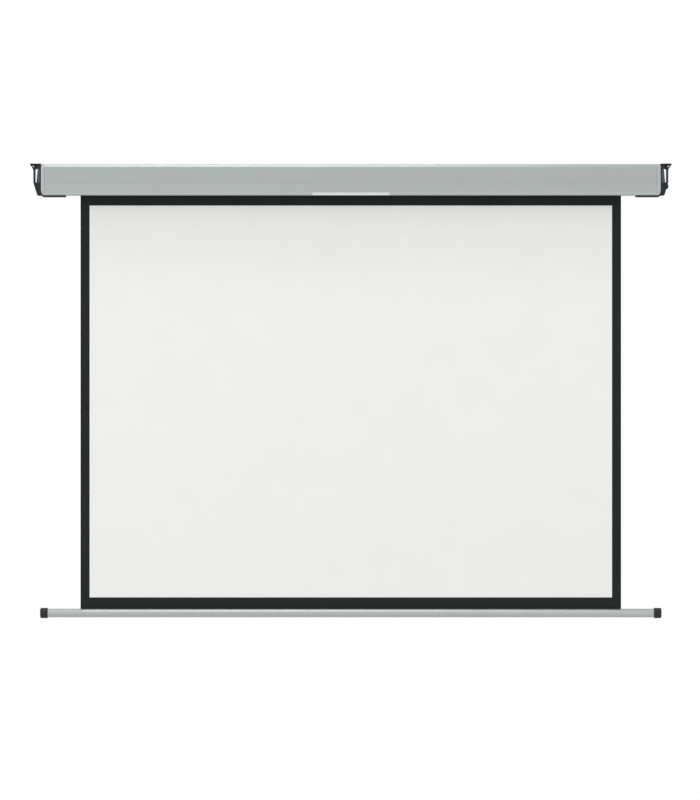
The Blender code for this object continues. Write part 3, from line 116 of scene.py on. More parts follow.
# Fabric and winding
FABRIC_HALF = fabric_high.x
FABRIC_THICKNESS = fabric_high.y - fabric_low.y
FABRIC_Y = (fabric_high.y + fabric_low.y) / 2
SLOT_FRONT = FABRIC_Y - 0.015
SLOT_REAR = FABRIC_Y + 0.0075
TUBE_RADIUS = (tube_high.y - tube_low.y) / 2
AXIS_Z = (tube_high.z + tube_low.z) / 2
SIDE_BORDER = 0.025
TOP_BORDER_SHOWN = 0.0271
PICTURE_HEIGHT = 1.080
PICTURE_HALF = FABRIC_HALF - SIDE_BORDER
PICTURE_TOP = CASE_BOTTOM - TOP_BORDER_SHOWN
PICTURE_BOTTOM = PICTURE_TOP - PICTURE_HEIGHT
STAYING_TURNS = 2
STEPS_PER_TURN = 64
TURN_PITCH = 0.00085
SHEET_COLUMNS = 75
SHEET_ROWS = 58
HEM_ROWS = 6
HEM_DEGREES = 350
WAVE_HEIGHT = 0.0006
WAVE_FADE_ABOVE = 0.15
WAVE_FADE_BELOW = 0.30

# Caps
CAP_INSIDE = CASE_HALF + GAP
CAP_OUTSIDE = cap_high.x
CAP_EDGE_RADIUS = 0.004
CAP_BOTTOM_RADIUS = 0.009
CAP_BOTTOM_RISE = 0.016
CAP_MARGIN = 0.0003
CAP_REAR_RADIUS = 0.0030
CAP_LEAST_RADIUS = 0.001
CURVE_STEPS = 12
SPIGOT_CLEARANCE = 0.0053
SPIGOT_WALL = 0.002
SPIGOT_RADIUS = 0.003
SPIGOT_INNER_RADIUS = 0.002
CAP_SCREW_BORE = 0.0017
CAP_SEAT_RADIUS = 0.0034
CAP_SCREW_SUNK = 0.0062
BRACKET_SCREW_OFFSET = 0.021
BRACKET_SCREW_BORE = 0.0018
BRACKET_SEAT_RADIUS = 0.0033
BRACKET_SCREW_SUNK = 0.0027
LOCK_SCREW_BORE = 0.0022
LOCK_SCREW_REACH = 0.013

# Hangers
HANGER_INSIDE = CAP_OUTSIDE + GAP
HANGER_WALL_OUTSIDE = HANGER_INSIDE + 0.0095
HANGER_STRAP_OUT = CAP_OUTSIDE + 0.0218
HANGER_STRAP_IN = HANGER_STRAP_OUT - 0.0054
HANGER_GAP_IN = HANGER_WALL_OUTSIDE + 0.0002
HANGER_GAP_SLANT = 0.003
HANGER_TIP = hanger_high.x
HANGER_FRONT = hanger_low.y
HANGER_WALL_FACE = hanger_high.y
HANGER_EDGE = 0.0005
CRADLE_TOP = -0.0020
FOOT_TIP = hanger_low.x
FOOT_BOTTOM = hanger_low.z
FOOT_TOP = FOOT_BOTTOM + 0.004
RAMP_FOOT = HANGER_INSIDE - 0.0050
RAMP_HEAD = HANGER_INSIDE - 0.0005
BLOCK_TOP = CASE_BOTTOM + 0.035
BLOCK_BOTTOM = CASE_BOTTOM - 0.0003
GAP_TOP = -0.0135
FLANGE_HALF_DEPTH = 0.028
FLANGE_THICKNESS = 0.0032
FLANGE_EDGE = 0.0006
FLANGE_INNER_RADIUS = 0.002
FLANGE_TIP_RADIUS = 0.005
LOOP_INSIDE = HANGER_INSIDE + 0.002
LOOP_FOOT = HANGER_WALL_OUTSIDE + 0.0012
LOOP_TIP = HANGER_TIP - 0.0004
LOOP_TOP = -0.0012
LOOP_SHOULDER = -0.0030
LOOP_HALF_DEPTH = 0.014
WINDOW_CORNERS = ((-0.0010, -0.0100), (0.0038, -0.0052), (-0.0018, -0.0056))
WINDOW_RADIUS = 0.0005

# The hangers' posts and wall plates
POST_RADIUS = (HANGER_WALL_OUTSIDE - HANGER_INSIDE) / 2
POST_Y = HANGER_FRONT + 0.006 + POST_RADIUS
POST_COLLAR = 0.0010
POST_NECK = 0.0016
POST_NECK_DEPTH = 0.0004
POST_EDGE = 0.0003
WALL_PLATE_INSIDE = HANGER_INSIDE - 0.060
WALL_PLATE_OUTSIDE = HANGER_WALL_OUTSIDE - SINK
WALL_PLATE_TOP = -0.022
WALL_PLATE_TOP_RADIUS = 0.006
WALL_PLATE_FOOT_RADIUS = 0.002

# The hangers' holes
CEILING_HOLE_X = HANGER_TIP - 0.015
CEILING_HOLE_Y = 0.021
CEILING_HOLE_RADIUS = 0.0027
CEILING_HOLE_DEPTH = 0.012
WALL_SLOTS_X = (HANGER_INSIDE - 0.045, HANGER_INSIDE - 0.015)
WALL_SLOT_Z = AXIS_Z - 0.002
WALL_SLOT_HALF_WIDTH = 0.003
WALL_SLOT_HALF_HEIGHT = 0.006
WALL_SLOT_RADIUS = 0.00299
LOCK_SEAT_RADIUS = 0.0038
LOCK_SEAT_TOP = FOOT_BOTTOM + 0.0024
LOCK_SCREW_X = CAP_INSIDE + (CAP_OUTSIDE - CAP_INSIDE) / 2 - 0.0008

# Screws: each kind's shank radius, head radius and head height
CAP_SCREW = (0.0014, 0.0031, 0.0022)
BRACKET_SCREW = (0.0015, 0.0030, 0.0020)
LOCK_SCREW = (0.0019, 0.0035, 0.0020)
SCREW_STEPS = 24
THREAD_PITCH = 0.0008
THREAD_DEPTH = 0.0002
HEAD_UNDER_RADIUS = 0.0002
HEAD_TOP_RADIUS = 0.0009
RECESS_DEPTH = 0.0011

# Shares of the thread's pitch, and of the head's radius
THREAD_CREST = 0.4
THREAD_ROOT = 0.8
RECESS_REACH = 0.62
RECESS_HALF_WIDTH = 0.14

# Gland
GLAND_Z = (gland_high.z + gland_low.z) / 2
GLAND_RADIUS = (gland_high.z - gland_low.z) / 2
GLAND_SEAT = HANGER_STRAP_OUT - 0.0059
GLAND_SHANK = 0.0048
GLAND_BORE = 0.0033
GLAND_DOME_HEIGHT = 0.0028
GLAND_CROWN = 0.66
FLUTES = 12
FLUTE_RADIUS = 0.0011
FLUTE_OUT = 0.0006
FLUTE_START = 0.0014

# Bar
BAR_HALF = bar_high.x
BAR_RADIUS = (bar_high.z - bar_low.z) / 2
BAR_Y = (bar_high.y + bar_low.y) / 2
BAR_Z = (bar_high.z + bar_low.z) / 2
BAR_TOP = BAR_Z + BAR_RADIUS
BAR_EDGE = 0.0002
BAR_STEPS = 96
BAR_CAP_RADIUS = (bar_cap_high.z - bar_cap_low.z) / 2
BAR_CAP_MOUTH_RADIUS = 0.0006
BAR_CAP_END_RADIUS = 0.0045
HEM_CHANNEL_RISE = 0.006
HEM_CHANNEL_RADIUS = 0.004
HEM_ROD_RADIUS = 0.0028
HEM_SLOT_WIDTH = 0.0026
BALLAST_BORE_RADIUS = 0.0056
BALLAST_BORE_DROP = 0.0052
SEAM_AT = FABRIC_HALF - 0.0075
SEAM_WIDTH = 0.0020
SEAM_DEPTH = 0.0006

# Camera: the photograph shows the screen straight from the front, from far away
VIEW_MIDDLE = Vector((-0.0022, 0.0, -0.6505))
VIEW_HEIGHT = 2.203
VIEW_DISTANCE = 24.0
SENSOR = 36.0

# Studio
WORLD_FILL = 0.76
FLOOR_SIZE = 3.9
FLOOR_Z = -2.0


# Shapes from bmesh operators

def lay(plane, a, b, level):
    """A point from its place in a plane across the X, Y or Z axis, and its level along that axis."""
    return {"X": (level, a, b), "Y": (a, level, b), "Z": (a, b, level)}[plane]


def section(corners, plane, level, segments):
    """One flat face from corners (a, b, radius), each corner rounded by its radius."""
    bm = bmesh.new()
    verts = [bm.verts.new(lay(plane, a, b, level)) for a, b, _ in corners]
    bm.faces.new(verts)
    for i, vert in enumerate(verts):
        radius = corners[i][2]
        if not radius:
            continue
        here = Vector(corners[i][:2])
        before = Vector(corners[i - 1][:2]) - here
        after = Vector(corners[(i + 1) % len(corners)][:2]) - here
        reach = radius / math.tan(before.angle(after) / 2)
        bmesh.ops.bevel(bm, geom=[vert], offset=reach, offset_type="OFFSET", segments=segments,
                        profile=0.5, affect="VERTICES", material=-1, clamp_overlap=False)
    return bm


def thicken(bm, plane, depth, rim, rims):
    """Extrudes the only face along its axis, and rounds the edges round the end faces."""
    near = bm.faces[:][0]
    grown = bmesh.ops.extrude_face_region(bm, geom=[near])
    far = [item for item in grown["geom"] if isinstance(item, bmesh.types.BMFace)]
    moved = [item for item in grown["geom"] if isinstance(item, bmesh.types.BMVert)]
    bmesh.ops.translate(bm, verts=moved, vec=lay(plane, 0, 0, depth))
    bmesh.ops.recalc_face_normals(bm, faces=bm.faces)
    ends = {"both": [near] + far, "near": [near], "far": far}[rims]
    if rim:
        edges = list({edge for face in ends for edge in face.edges})
        bmesh.ops.bevel(bm, geom=edges, offset=rim, offset_type="OFFSET", segments=3,
                        profile=0.5, affect="EDGES", material=-1, clamp_overlap=True)
    return bm


def prism(corners, plane, start, end, rim=0.0, rims="both", segments=5):
    return thicken(section(corners, plane, start, segments), plane, end - start, rim, rims)


def oblong(a0, a1, b0, b1, radius=0.0):
    """The corners of an upright rectangle."""
    return [(a0, b0, radius), (a1, b0, radius), (a1, b1, radius), (a0, b1, radius)]


def turned(corners, steps, segments=4):
    """A body of revolution round the X axis, from the corners (x, r, radius) of its half section."""
    bm = section(corners, "Y", 0, segments)
    bmesh.ops.delete(bm, geom=bm.faces[:], context="FACES_ONLY")
    on_axis = [edge for edge in bm.edges if all(vert.co.z < TINY for vert in edge.verts)]
    bmesh.ops.delete(bm, geom=on_axis, context="EDGES")
    bmesh.ops.spin(bm, geom=bm.verts[:] + bm.edges[:], cent=(0, 0, 0), axis=(1, 0, 0), dvec=(0, 0, 0),
                   angle=2 * math.pi, steps=steps, use_merge=True, use_duplicate=False)
    bmesh.ops.remove_doubles(bm, verts=bm.verts, dist=TINY)
    loose = [vert for vert in bm.verts if not vert.link_faces]
    bmesh.ops.delete(bm, geom=loose, context="VERTS")
    bmesh.ops.recalc_face_normals(bm, faces=bm.faces)
    return bm


def rod(x0, x1, radius, steps=32, edge=0.0):
    return turned([(x0, 0, 0), (x0, radius, edge), (x1, radius, edge), (x1, 0, 0)], steps)


def ring(x0, x1, inner, outer, steps):
    return turned([(x0, inner, 0), (x0, outer, 0), (x1, outer, 0), (x1, inner, 0)], steps)


def stepped_bore(start, seat, end, first, second, steps):
    """The shape of a hole along X, of one radius up to its seat and of another from there."""
    return turned([
        (start, 0, 0),
        (start, first, 0),
        (seat, first, 0),
        (seat, second, 0),
        (end, second, 0),
        (end, 0, 0),
    ], steps)


def moved(bm, offset):
    bmesh.ops.translate(bm, verts=bm.verts, vec=offset)
    return bm


def upright(bm):
    """Turns a body that lies along X so that it stands along Z."""
    bmesh.ops.rotate(bm, verts=bm.verts, cent=(0, 0, 0), matrix=Matrix.Rotation(-math.pi / 2, 3, "Y"))
    return bm


def on_side(bm, side):
    """Leaves a right-hand shape as it is, or mirrors it for the left."""
    if side < 0:
        bmesh.ops.scale(bm, verts=bm.verts, vec=(-1, 1, 1))
        bmesh.ops.recalc_face_normals(bm, faces=bm.faces)
    return bm


def together(shapes):
    """Several closed shapes in one mesh."""
    whole = bmesh.new()
    for shape in shapes:
        mesh = bpy.data.meshes.new("shape")
        shape.to_mesh(mesh)
        shape.free()
        whole.from_mesh(mesh)
        bpy.data.meshes.remove(mesh)
    return whole


def carve(bm, tool, operation="DIFFERENCE"):
    """Takes a tool's shape away from a body, or joins it on."""
    shapes = []
    for shape in (bm, tool):
        mesh = bpy.data.meshes.new("shape")
        shape.to_mesh(mesh)
        shape.free()
        obj = bpy.data.objects.new("shape", mesh)
        bpy.context.scene.collection.objects.link(obj)
        shapes.append(obj)
    modifier = shapes[0].modifiers.new("carve", "BOOLEAN")
    modifier.operation = operation
    modifier.solver = "EXACT"
    modifier.object = shapes[1]
    result = bmesh.new()
    result.from_object(shapes[0], bpy.context.evaluated_depsgraph_get())
    for obj in shapes:
        bpy.data.meshes.remove(obj.data)
    bmesh.ops.dissolve_degenerate(result, dist=TINY, edges=result.edges)
    return result


def stacked(layers, plane, segments):
    """A closed body through rounded outlines at rising levels, each given as (level, corners)."""
    bm = together([section(corners, plane, level, segments) for level, corners in layers])
    flats = bm.faces[:]
    for lower, upper in zip(flats, flats[1:]):
        bmesh.ops.bridge_loops(bm, edges=lower.edges[:] + upper.edges[:])
    bmesh.ops.delete(bm, geom=flats[1:-1], context="FACES_ONLY")
    bmesh.ops.recalc_face_normals(bm, faces=bm.faces)
    return bm


def piece(name, bm, body, looks, replaces=()):
    """Makes a finished piece: smooth within its faces, sharp at its edges, riding on its body."""
    mesh = bpy.data.meshes.new(name)
    bm.to_mesh(mesh)
    bm.free()
    for look in looks:
        mesh.materials.append(look)
    mesh.shade_smooth()
    mesh.set_sharp_from_angle(angle=SHARP_ANGLE)
    obj = bpy.data.objects.new(name, mesh)
    bpy.context.scene.collection.objects.link(obj)
    even = obj.modifiers.new("even_faces", "WEIGHTED_NORMAL")
    even.keep_sharp = True
    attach(obj, body)
    if replaces:
        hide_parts(*replaces)
    return obj


# Finishes

class Wire:
    """A node's output. Sums and products of wires and numbers add Math nodes."""

    def __init__(self, finish, socket):
        self.finish = finish
        self.socket = socket

    def math(self, operation, first, second):
        return self.finish.node("Math", {"operation": operation}, {0: first, 1: second})

    def __add__(self, other):
        return self.math("ADD", self, other)

    def __radd__(self, other):
        return self.math("ADD", other, self)

    def __mul__(self, other):
        return self.math("MULTIPLY", self, other)

    def __rmul__(self, other):
        return self.math("MULTIPLY", other, self)


class Finish:
    """A material in the making: its nodes, its coordinates and its shader."""

    def __init__(self, name, roughness, metallic=0.0, **shader_values):
        self.material = bpy.data.materials.new(name)
        self.material.use_nodes = True
        self.tree = self.material.node_tree
        self.shader = self.tree.nodes["Principled BSDF"]
        self.place = self.node("TexCoord", output="Object")
        self.put(self.shader.inputs["Roughness"], roughness)
        self.put(self.shader.inputs["Metallic"], metallic)
        for words, value in shader_values.items():
            self.put(self.shader.inputs[words.replace("_", " ").title().replace("Ior", "IOR")], value)

    def put(self, socket, value):
        if isinstance(value, Wire):
            self.tree.links.new(value.socket, socket)
        else:
            socket.default_value = value

    def node(self, kind, settings=None, values=None, output=0):
        """Adds a node with its settings, then the values or wires of its sockets."""
        made = self.tree.nodes.new("ShaderNode" + kind)
        for key, value in (settings or {}).items():
            setattr(made, key, value)
        for key, value in (values or {}).items():
            self.put(made.inputs[key], value)
        return Wire(self, made.outputs[output])

    def stretched(self, source, scale):
        return self.node("Mapping", None, {"Vector": source, "Scale": scale})

    def noise(self, scale, detail, stretch=(1, 1, 1), source=None):
        """Noise from 0 to 1, with so many patches to the metre, stretched along the axes."""
        spread = self.stretched(source or self.place, [scale * share for share in stretch])
        return self.node("TexNoise", None, {"Vector": spread, "Scale": 1.0, "Detail": detail})

    def mask(self, value, low=0.3, high=0.7):
        """0 below low, 1 above high, and smooth between them."""
        limits = {"Value": value, "From Min": low, "From Max": high}
        return self.node("MapRange", {"interpolation_type": "SMOOTHSTEP"}, limits)

    def mix(self, share, first, second):
        """A colour between two others."""
        values = {"Factor": share, 6: first, 7: second}
        return self.node("Mix", {"data_type": "RGBA"}, values, output=2)

    def facing_up(self):
        """1 on a face that looks up, 0 on a wall."""
        normal = self.node("NewGeometry", output="Normal")
        split = self.node("SeparateXYZ", None, {0: normal}, output="Z")
        return self.mask(split, 0.5, 0.95)

    def bump(self, height, distance):
        values = {"Height": height, "Distance": distance, "Strength": 1.0}
        self.put(self.shader.inputs["Normal"], self.node("Bump", None, values))

    def colour(self, value):
        self.put(self.shader.inputs["Base Color"], value)

    def rough(self, value):
        self.put(self.shader.inputs["Roughness"], value)


def shade(colour, factor=1.0):
    return (colour[0] * factor, colour[1] * factor, colour[2] * factor, 1.0)


def silver_paint(name, colour, roughness, metallic, drawn=True):
    """Satin silver coating: fine flakes, faint drawing lines along an extrusion, and a little dust on top."""
    finish = Finish(name, roughness, metallic)
    flakes = finish.noise(2600, 1.0)
    clouds = finish.noise(5, 3.0)
    lines = finish.noise(1, 2.0, (1.5, 700, 700)) if drawn else finish.noise(90, 3.0)
    tone = finish.mix(finish.mask(flakes, 0.35, 0.65), shade(colour, 0.93), shade(colour, 1.05))
    tone = finish.mix(finish.mask(clouds) * 0.25, tone, shade(colour, 0.90))
    dust = finish.facing_up() * finish.mask(finish.noise(160, 5.0), 0.30, 0.85) * 0.22
    finish.colour(finish.mix(dust, tone, (0.60, 0.59, 0.56, 1.0)))
    finish.rough(roughness - 0.05 + 0.10 * lines + 0.15 * dust)
    finish.bump(0.6 * lines + 0.4 * flakes, 0.00004)
    return finish.material


def black_moulding():
    """Matte black plastic with a fine spark-eroded grain, faint scuffs and dust."""
    finish = Finish("black_plastic", 0.45, specular_ior_level=0.4)
    grain = finish.noise(1500, 2.0)
    clouds = finish.noise(18, 3.0)
    scuffs = finish.mask(finish.noise(40, 4.0, (1, 6, 1)), 0.62, 0.72)
    base = (0.0090, 0.0105, 0.0125)
    tone = finish.mix(finish.mask(clouds), shade(base, 0.85), shade(base, 1.25))
    tone = finish.mix(0.12 * scuffs, tone, (0.07, 0.075, 0.08, 1.0))
    dust = finish.facing_up() * finish.mask(finish.noise(180, 5.0), 0.35, 0.85) * 0.16
    finish.colour(finish.mix(dust, tone, (0.30, 0.29, 0.27, 1.0)))
    finish.rough(0.40 + 0.12 * clouds + 0.10 * scuffs + 0.3 * dust)
    finish.bump(grain, 0.00006)
    return finish.material


def post_plastic_painted_sheen():
    """The hanger's black plastic on its round post, coloured a lighter bluish grey as painted sheen, with a
    soft shine and faint upright draw marks.
    """
    finish = Finish("post_painted_sheen", 0.30)
    marks = finish.noise(900, 2.0, (1, 1, 0.02))
    clouds = finish.noise(40, 3.0)
    # The base colour is painted sheen: lighter and bluer than the hanger's black, standing in for the light
    # the round post catches.
    base = (0.075, 0.082, 0.098)
    finish.colour(finish.mix(finish.mask(clouds), shade(base, 0.88), shade(base, 1.12)))
    finish.rough(0.26 + 0.10 * marks + 0.05 * clouds)
    finish.bump(marks, 0.00003)
    return finish.material


def drawn_aluminium():
    """Satin anodised aluminium, drawn along X, with a few longer streaks and duller ends past the seams."""
    finish = Finish("bar_aluminium", 0.38, 0.85)
    lines = finish.noise(1, 3.0, (1.2, 1100, 1100))
    streaks = finish.noise(1, 2.0, (0.8, 160, 160))
    along = finish.node("SeparateXYZ", None, {0: finish.place}, output="X")
    from_middle = finish.node("Math", {"operation": "ABSOLUTE"}, {0: along})
    ends = finish.mask(from_middle, SEAM_AT, SEAM_AT + 0.004)
    base = (0.505, 0.53, 0.525)
    finish.colour(finish.mix(finish.mask(streaks), shade(base, 0.93), shade(base, 1.04)))
    finish.rough(0.26 + 0.08 * lines + 0.06 * streaks + 0.18 * ends)
    finish.bump(lines, 0.00004)
    return finish.material


def metal(name, colour, roughness, stretch):
    """Bare or plated metal: machining marks in one direction, with lighter and darker patches."""
    finish = Finish(name, roughness, 1.0)
    marks = finish.noise(1, 3.0, stretch)
    patches = finish.noise(60, 3.0)
    finish.colour(finish.mix(finish.mask(patches), shade(colour, 0.88), shade(colour, 1.06)))
    finish.rough(roughness - 0.06 + 0.14 * marks + 0.06 * patches)
    finish.bump(marks, 0.00003)
    return finish.material


def galvanised():
    """Zinc-plated sheet: pale crystals of slightly different tone and gloss."""
    finish = Finish("galvanised", 0.45, 0.9)
    spread = finish.stretched(finish.place, (220, 220, 220))
    crystals = finish.node("TexVoronoi", None, {"Vector": spread, "Scale": 1.0}, output="Color")
    tone = finish.node("SeparateColor", None, {0: crystals})
    base = (0.60, 0.61, 0.62)
    finish.colour(finish.mix(tone, shade(base, 0.85), shade(base, 1.06)))
    finish.rough(0.38 + 0.16 * tone)
    finish.bump(finish.noise(400, 3.0), 0.00003)
    return finish.material


def moulded(name, colour, roughness):
    """Plain moulded plastic: a fine grain and slightly uneven gloss."""
    finish = Finish(name, roughness)
    grains = finish.noise(900, 2.0)
    flow = finish.noise(30, 3.0)
    finish.colour(finish.mix(finish.mask(flow), shade(colour, 0.94), shade(colour, 1.04)))
    finish.rough(roughness - 0.05 + 0.12 * flow)
    finish.bump(grains, 0.00004)
    return finish.material


def woven(name, colour, roughness, threads, contrast):
    """Coated screen cloth: threads both ways on the cloth's own map, in metres, and soft mottling."""
    finish = Finish(name, roughness, specular_ior_level=0.25)
    cloth = finish.node("TexCoord", output="UV")
    across = finish.node("SeparateXYZ", None, {0: cloth}, output="X")
    along = finish.node("SeparateXYZ", None, {0: cloth}, output="Y")
    turn = 2 * math.pi * threads
    warp = finish.node("Math", {"operation": "SINE"}, {0: across * turn})
    weft = finish.node("Math", {"operation": "SINE"}, {0: along * turn})
    mottle = finish.noise(9, 3.0, source=cloth)
    fleck = finish.noise(900, 2.0, source=cloth)
    tone = finish.mix(finish.mask(mottle), shade(colour, 1 - contrast), shade(colour))
    finish.colour(finish.mix(finish.mask(fleck, 0.45, 0.7) * contrast, tone, shade(colour, 0.85)))
    finish.rough(roughness - 0.04 + 0.08 * mottle)
    finish.bump(0.35 * warp * weft + fleck, 0.00005)
    return finish.material


SILVER = silver_paint("silver_paint", (0.435, 0.467, 0.464), 0.36, 0.45)
SILVER_CAP = silver_paint("silver_cap", (0.456, 0.475, 0.500), 0.40, 0.25, drawn=False)
BLACK = black_moulding()
POST = post_plastic_painted_sheen()
ALUMINIUM = drawn_aluminium()
STEEL = metal("steel", (0.50, 0.50, 0.50), 0.34, (900, 900, 900))
GALVANISED = galvanised()
BRASS = metal("brass", (0.70, 0.52, 0.25), 0.32, (1500, 300, 300))
WHITE_CLOTH = woven("screen_white", (0.86, 0.86, 0.845), 0.85, 1400, 0.012)
BLACK_CLOTH = woven("screen_black", (0.0115, 0.0165, 0.0150), 0.80, 1400, 0.15)
BACK_CLOTH = woven("screen_back", (0.035, 0.036, 0.038), 0.75, 1400, 0.15)
PALE = moulded("pale_strip", (0.70, 0.735, 0.71), 0.45)
NYLON = moulded("grey_nylon", (0.30, 0.31, 0.32), 0.50)
YELLOW = moulded("yellow_plastic", (0.80, 0.60, 0.08), 0.42)
WHITE = moulded("white_plastic", (0.80, 0.80, 0.78), 0.42)


# Case and caps

def brow_height_at(y, inward):
    """At a depth y, the height of a line that lies so far inside the brow's slope."""
    slope = math.hypot(BROW_DEPTH, BROW_HEIGHT)
    return CASE_TOP - BROW_HEIGHT + ((y - CASE_FRONT) * BROW_HEIGHT - inward * slope) / BROW_DEPTH


def brow_depth_at(z, inward):
    """At a height z, the depth of a line that lies so far inside the brow's slope."""
    slope = math.hypot(BROW_DEPTH, BROW_HEIGHT)
    return CASE_FRONT + (inward * slope + (z - CASE_TOP + BROW_HEIGHT) * BROW_DEPTH) / BROW_HEIGHT


def port_centres():
    """The screw ports in the case's four corners, in (y, z)."""
    front = CASE_FRONT + PORT_INSET + FRONT_WALL_EXTRA
    rear = CASE_REAR - PORT_INSET
    top = CASE_TOP - PORT_INSET
    bottom = CASE_BOTTOM + PORT_INSET
    behind_brow = (front + PORT_BEHIND_BROW, top - PORT_BEHIND_BROW)
    return [behind_brow, (front, bottom), (rear, bottom), (rear, top)]


def make_port(centre):
    """A screw port: a thick tube along the case, open toward the middle."""
    middle_z = (CASE_TOP + CASE_BOTTOM) / 2
    inward = math.atan2(middle_z - centre[1], -centre[0])
    start = inward + PORT_OPENING / 2
    heading = Vector((0, math.cos(start), math.sin(start)))
    middle = Vector((-CASE_HALF, *centre))
    bm = bmesh.new()
    ends = [bm.verts.new(middle + heading * radius) for radius in (PORT_BORE, PORT_OUTER)]
    edge = bm.edges.new(ends)
    bmesh.ops.spin(bm, geom=[edge, *ends], cent=middle, axis=(1, 0, 0), dvec=(0, 0, 0),
                   angle=2 * math.pi - PORT_OPENING, steps=PORT_STEPS)
    grown = bmesh.ops.extrude_face_region(bm, geom=bm.faces[:])
    far = [item for item in grown["geom"] if isinstance(item, bmesh.types.BMVert)]
    bmesh.ops.translate(bm, verts=far, vec=(2 * CASE_HALF, 0, 0))
    bmesh.ops.recalc_face_normals(bm, faces=bm.faces)
    return bm


def make_case():
    """The silver extrusion: sloped brow, soft crease, swelling band, lip, and a slot with raised edges."""
    inner_front = CASE_FRONT + CASE_WALL + FRONT_WALL_EXTRA
    inner_rear = CASE_REAR - CASE_WALL
    inner_top = CASE_TOP - CASE_WALL
    floor = CASE_BOTTOM + CASE_WALL
    lip_up = CASE_BOTTOM + SLOT_LIP
    groove_floor = BAND_FRONT + GROOVE_DEPTH
    shell = prism([
        (SLOT_FRONT, lip_up, SLOT_LIP_RADIUS),
        (SLOT_FRONT, CASE_BOTTOM, SLOT_CORNER_RADIUS),
        (LIP_FRONT, CASE_BOTTOM, LIP_RADIUS),
        (LIP_FRONT, LIP_TOP - LIP_LEAN_HEIGHT, LIP_LEAN_RADIUS),
        (LIP_FRONT + LIP_LEAN, LIP_TOP, CRISP_RADIUS),
        (groove_floor, LIP_TOP, 0),
        (groove_floor, BAND_BOTTOM, 0),
        (BAND_FRONT, BAND_BOTTOM, CRISP_RADIUS),
        (CASE_FRONT - BAND_TOP_STEP, BAND_TOP, BAND_TOP_RADIUS),
        (CASE_FRONT + HOLLOW_DEPTH, BAND_TOP, 0),
        (CASE_FRONT, BAND_TOP + HOLLOW_HEIGHT, HOLLOW_RADIUS),
        (CASE_FRONT, CASE_TOP - BROW_HEIGHT, BROW_RADIUS),
        (CASE_FRONT + BROW_DEPTH, CASE_TOP, BROW_RADIUS),
        (CASE_REAR, CASE_TOP, CASE_REAR_RADIUS),
        (CASE_REAR, CASE_BOTTOM, CASE_REAR_RADIUS),
        (SLOT_REAR, CASE_BOTTOM, SLOT_CORNER_RADIUS),
        (SLOT_REAR, lip_up, SLOT_LIP_RADIUS),
        (SLOT_REAR + CASE_WALL, lip_up, SLOT_LIP_RADIUS),
        (SLOT_REAR + CASE_WALL, floor, 0),
        (inner_rear, floor, CASE_INNER_RADIUS),
        (inner_rear, inner_top, CASE_INNER_RADIUS),
        (brow_depth_at(inner_top, CASE_WALL), inner_top, CASE_INNER_RADIUS),
        (inner_front, brow_height_at(inner_front, CASE_WALL), CASE_INNER_RADIUS),
        (inner_front, floor, CASE_INNER_RADIUS),
        (SLOT_FRONT - CASE_WALL, floor, 0),
        (SLOT_FRONT - CASE_WALL, lip_up, SLOT_LIP_RADIUS),
    ], "X", -CASE_HALF, CASE_HALF, segments=7)
    shell = carve(shell, together([make_port(centre) for centre in port_centres()]), "UNION")
    piece("case_extrusion", shell, "case", [SILVER], ["case_shell"])


def make_strip():
    """The bare pale strip on the lip, its face edge softened."""
    low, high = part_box("lip_strip")
    outline = oblong(low.x, high.x, low.z, high.z, STRIP_CORNER_RADIUS)
    plate = prism(outline, "Y", low.y, high.y, STRIP_EDGE, "near")
    piece("pale_strip_moulding", plate, "case", [PALE], ["lip_strip"])


def rounded_plate():
    """The cap's plate: its outer edges rounded, most of all underneath."""
    layers = []
    for i in range(CURVE_STEPS + 1):
        angle = math.pi / 2 * i / CURVE_STEPS
        x = max(CAP_INSIDE, CAP_OUTSIDE - CAP_BOTTOM_RADIUS * (1 - math.sin(angle))) if i else CAP_INSIDE
        below = CAP_BOTTOM_RISE * (1 - math.cos(angle))
        into = max(0.0, x - (CAP_OUTSIDE - CAP_EDGE_RADIUS)) / CAP_EDGE_RADIUS
        around = CAP_EDGE_RADIUS * (1 - math.sqrt(1 - min(1.0, into) ** 2))
        inward = around - CAP_MARGIN
        brow = max(BROW_RADIUS - around, CAP_LEAST_RADIUS)
        lip = max(LIP_RADIUS + CAP_MARGIN - around, CAP_LEAST_RADIUS)
        back = max(CAP_REAR_RADIUS - around, CAP_LEAST_RADIUS)
        front = cap_low.y + around
        rear = cap_high.y - around
        top = cap_high.z - around
        bottom = cap_low.z + below
        layers.append((x, [
            (front, bottom, lip),
            (rear, bottom, back),
            (rear, top, back),
            (brow_depth_at(top, inward), top, brow),
            (front, brow_height_at(front, inward), brow),
        ]))
    return stacked(layers, "X", 8)


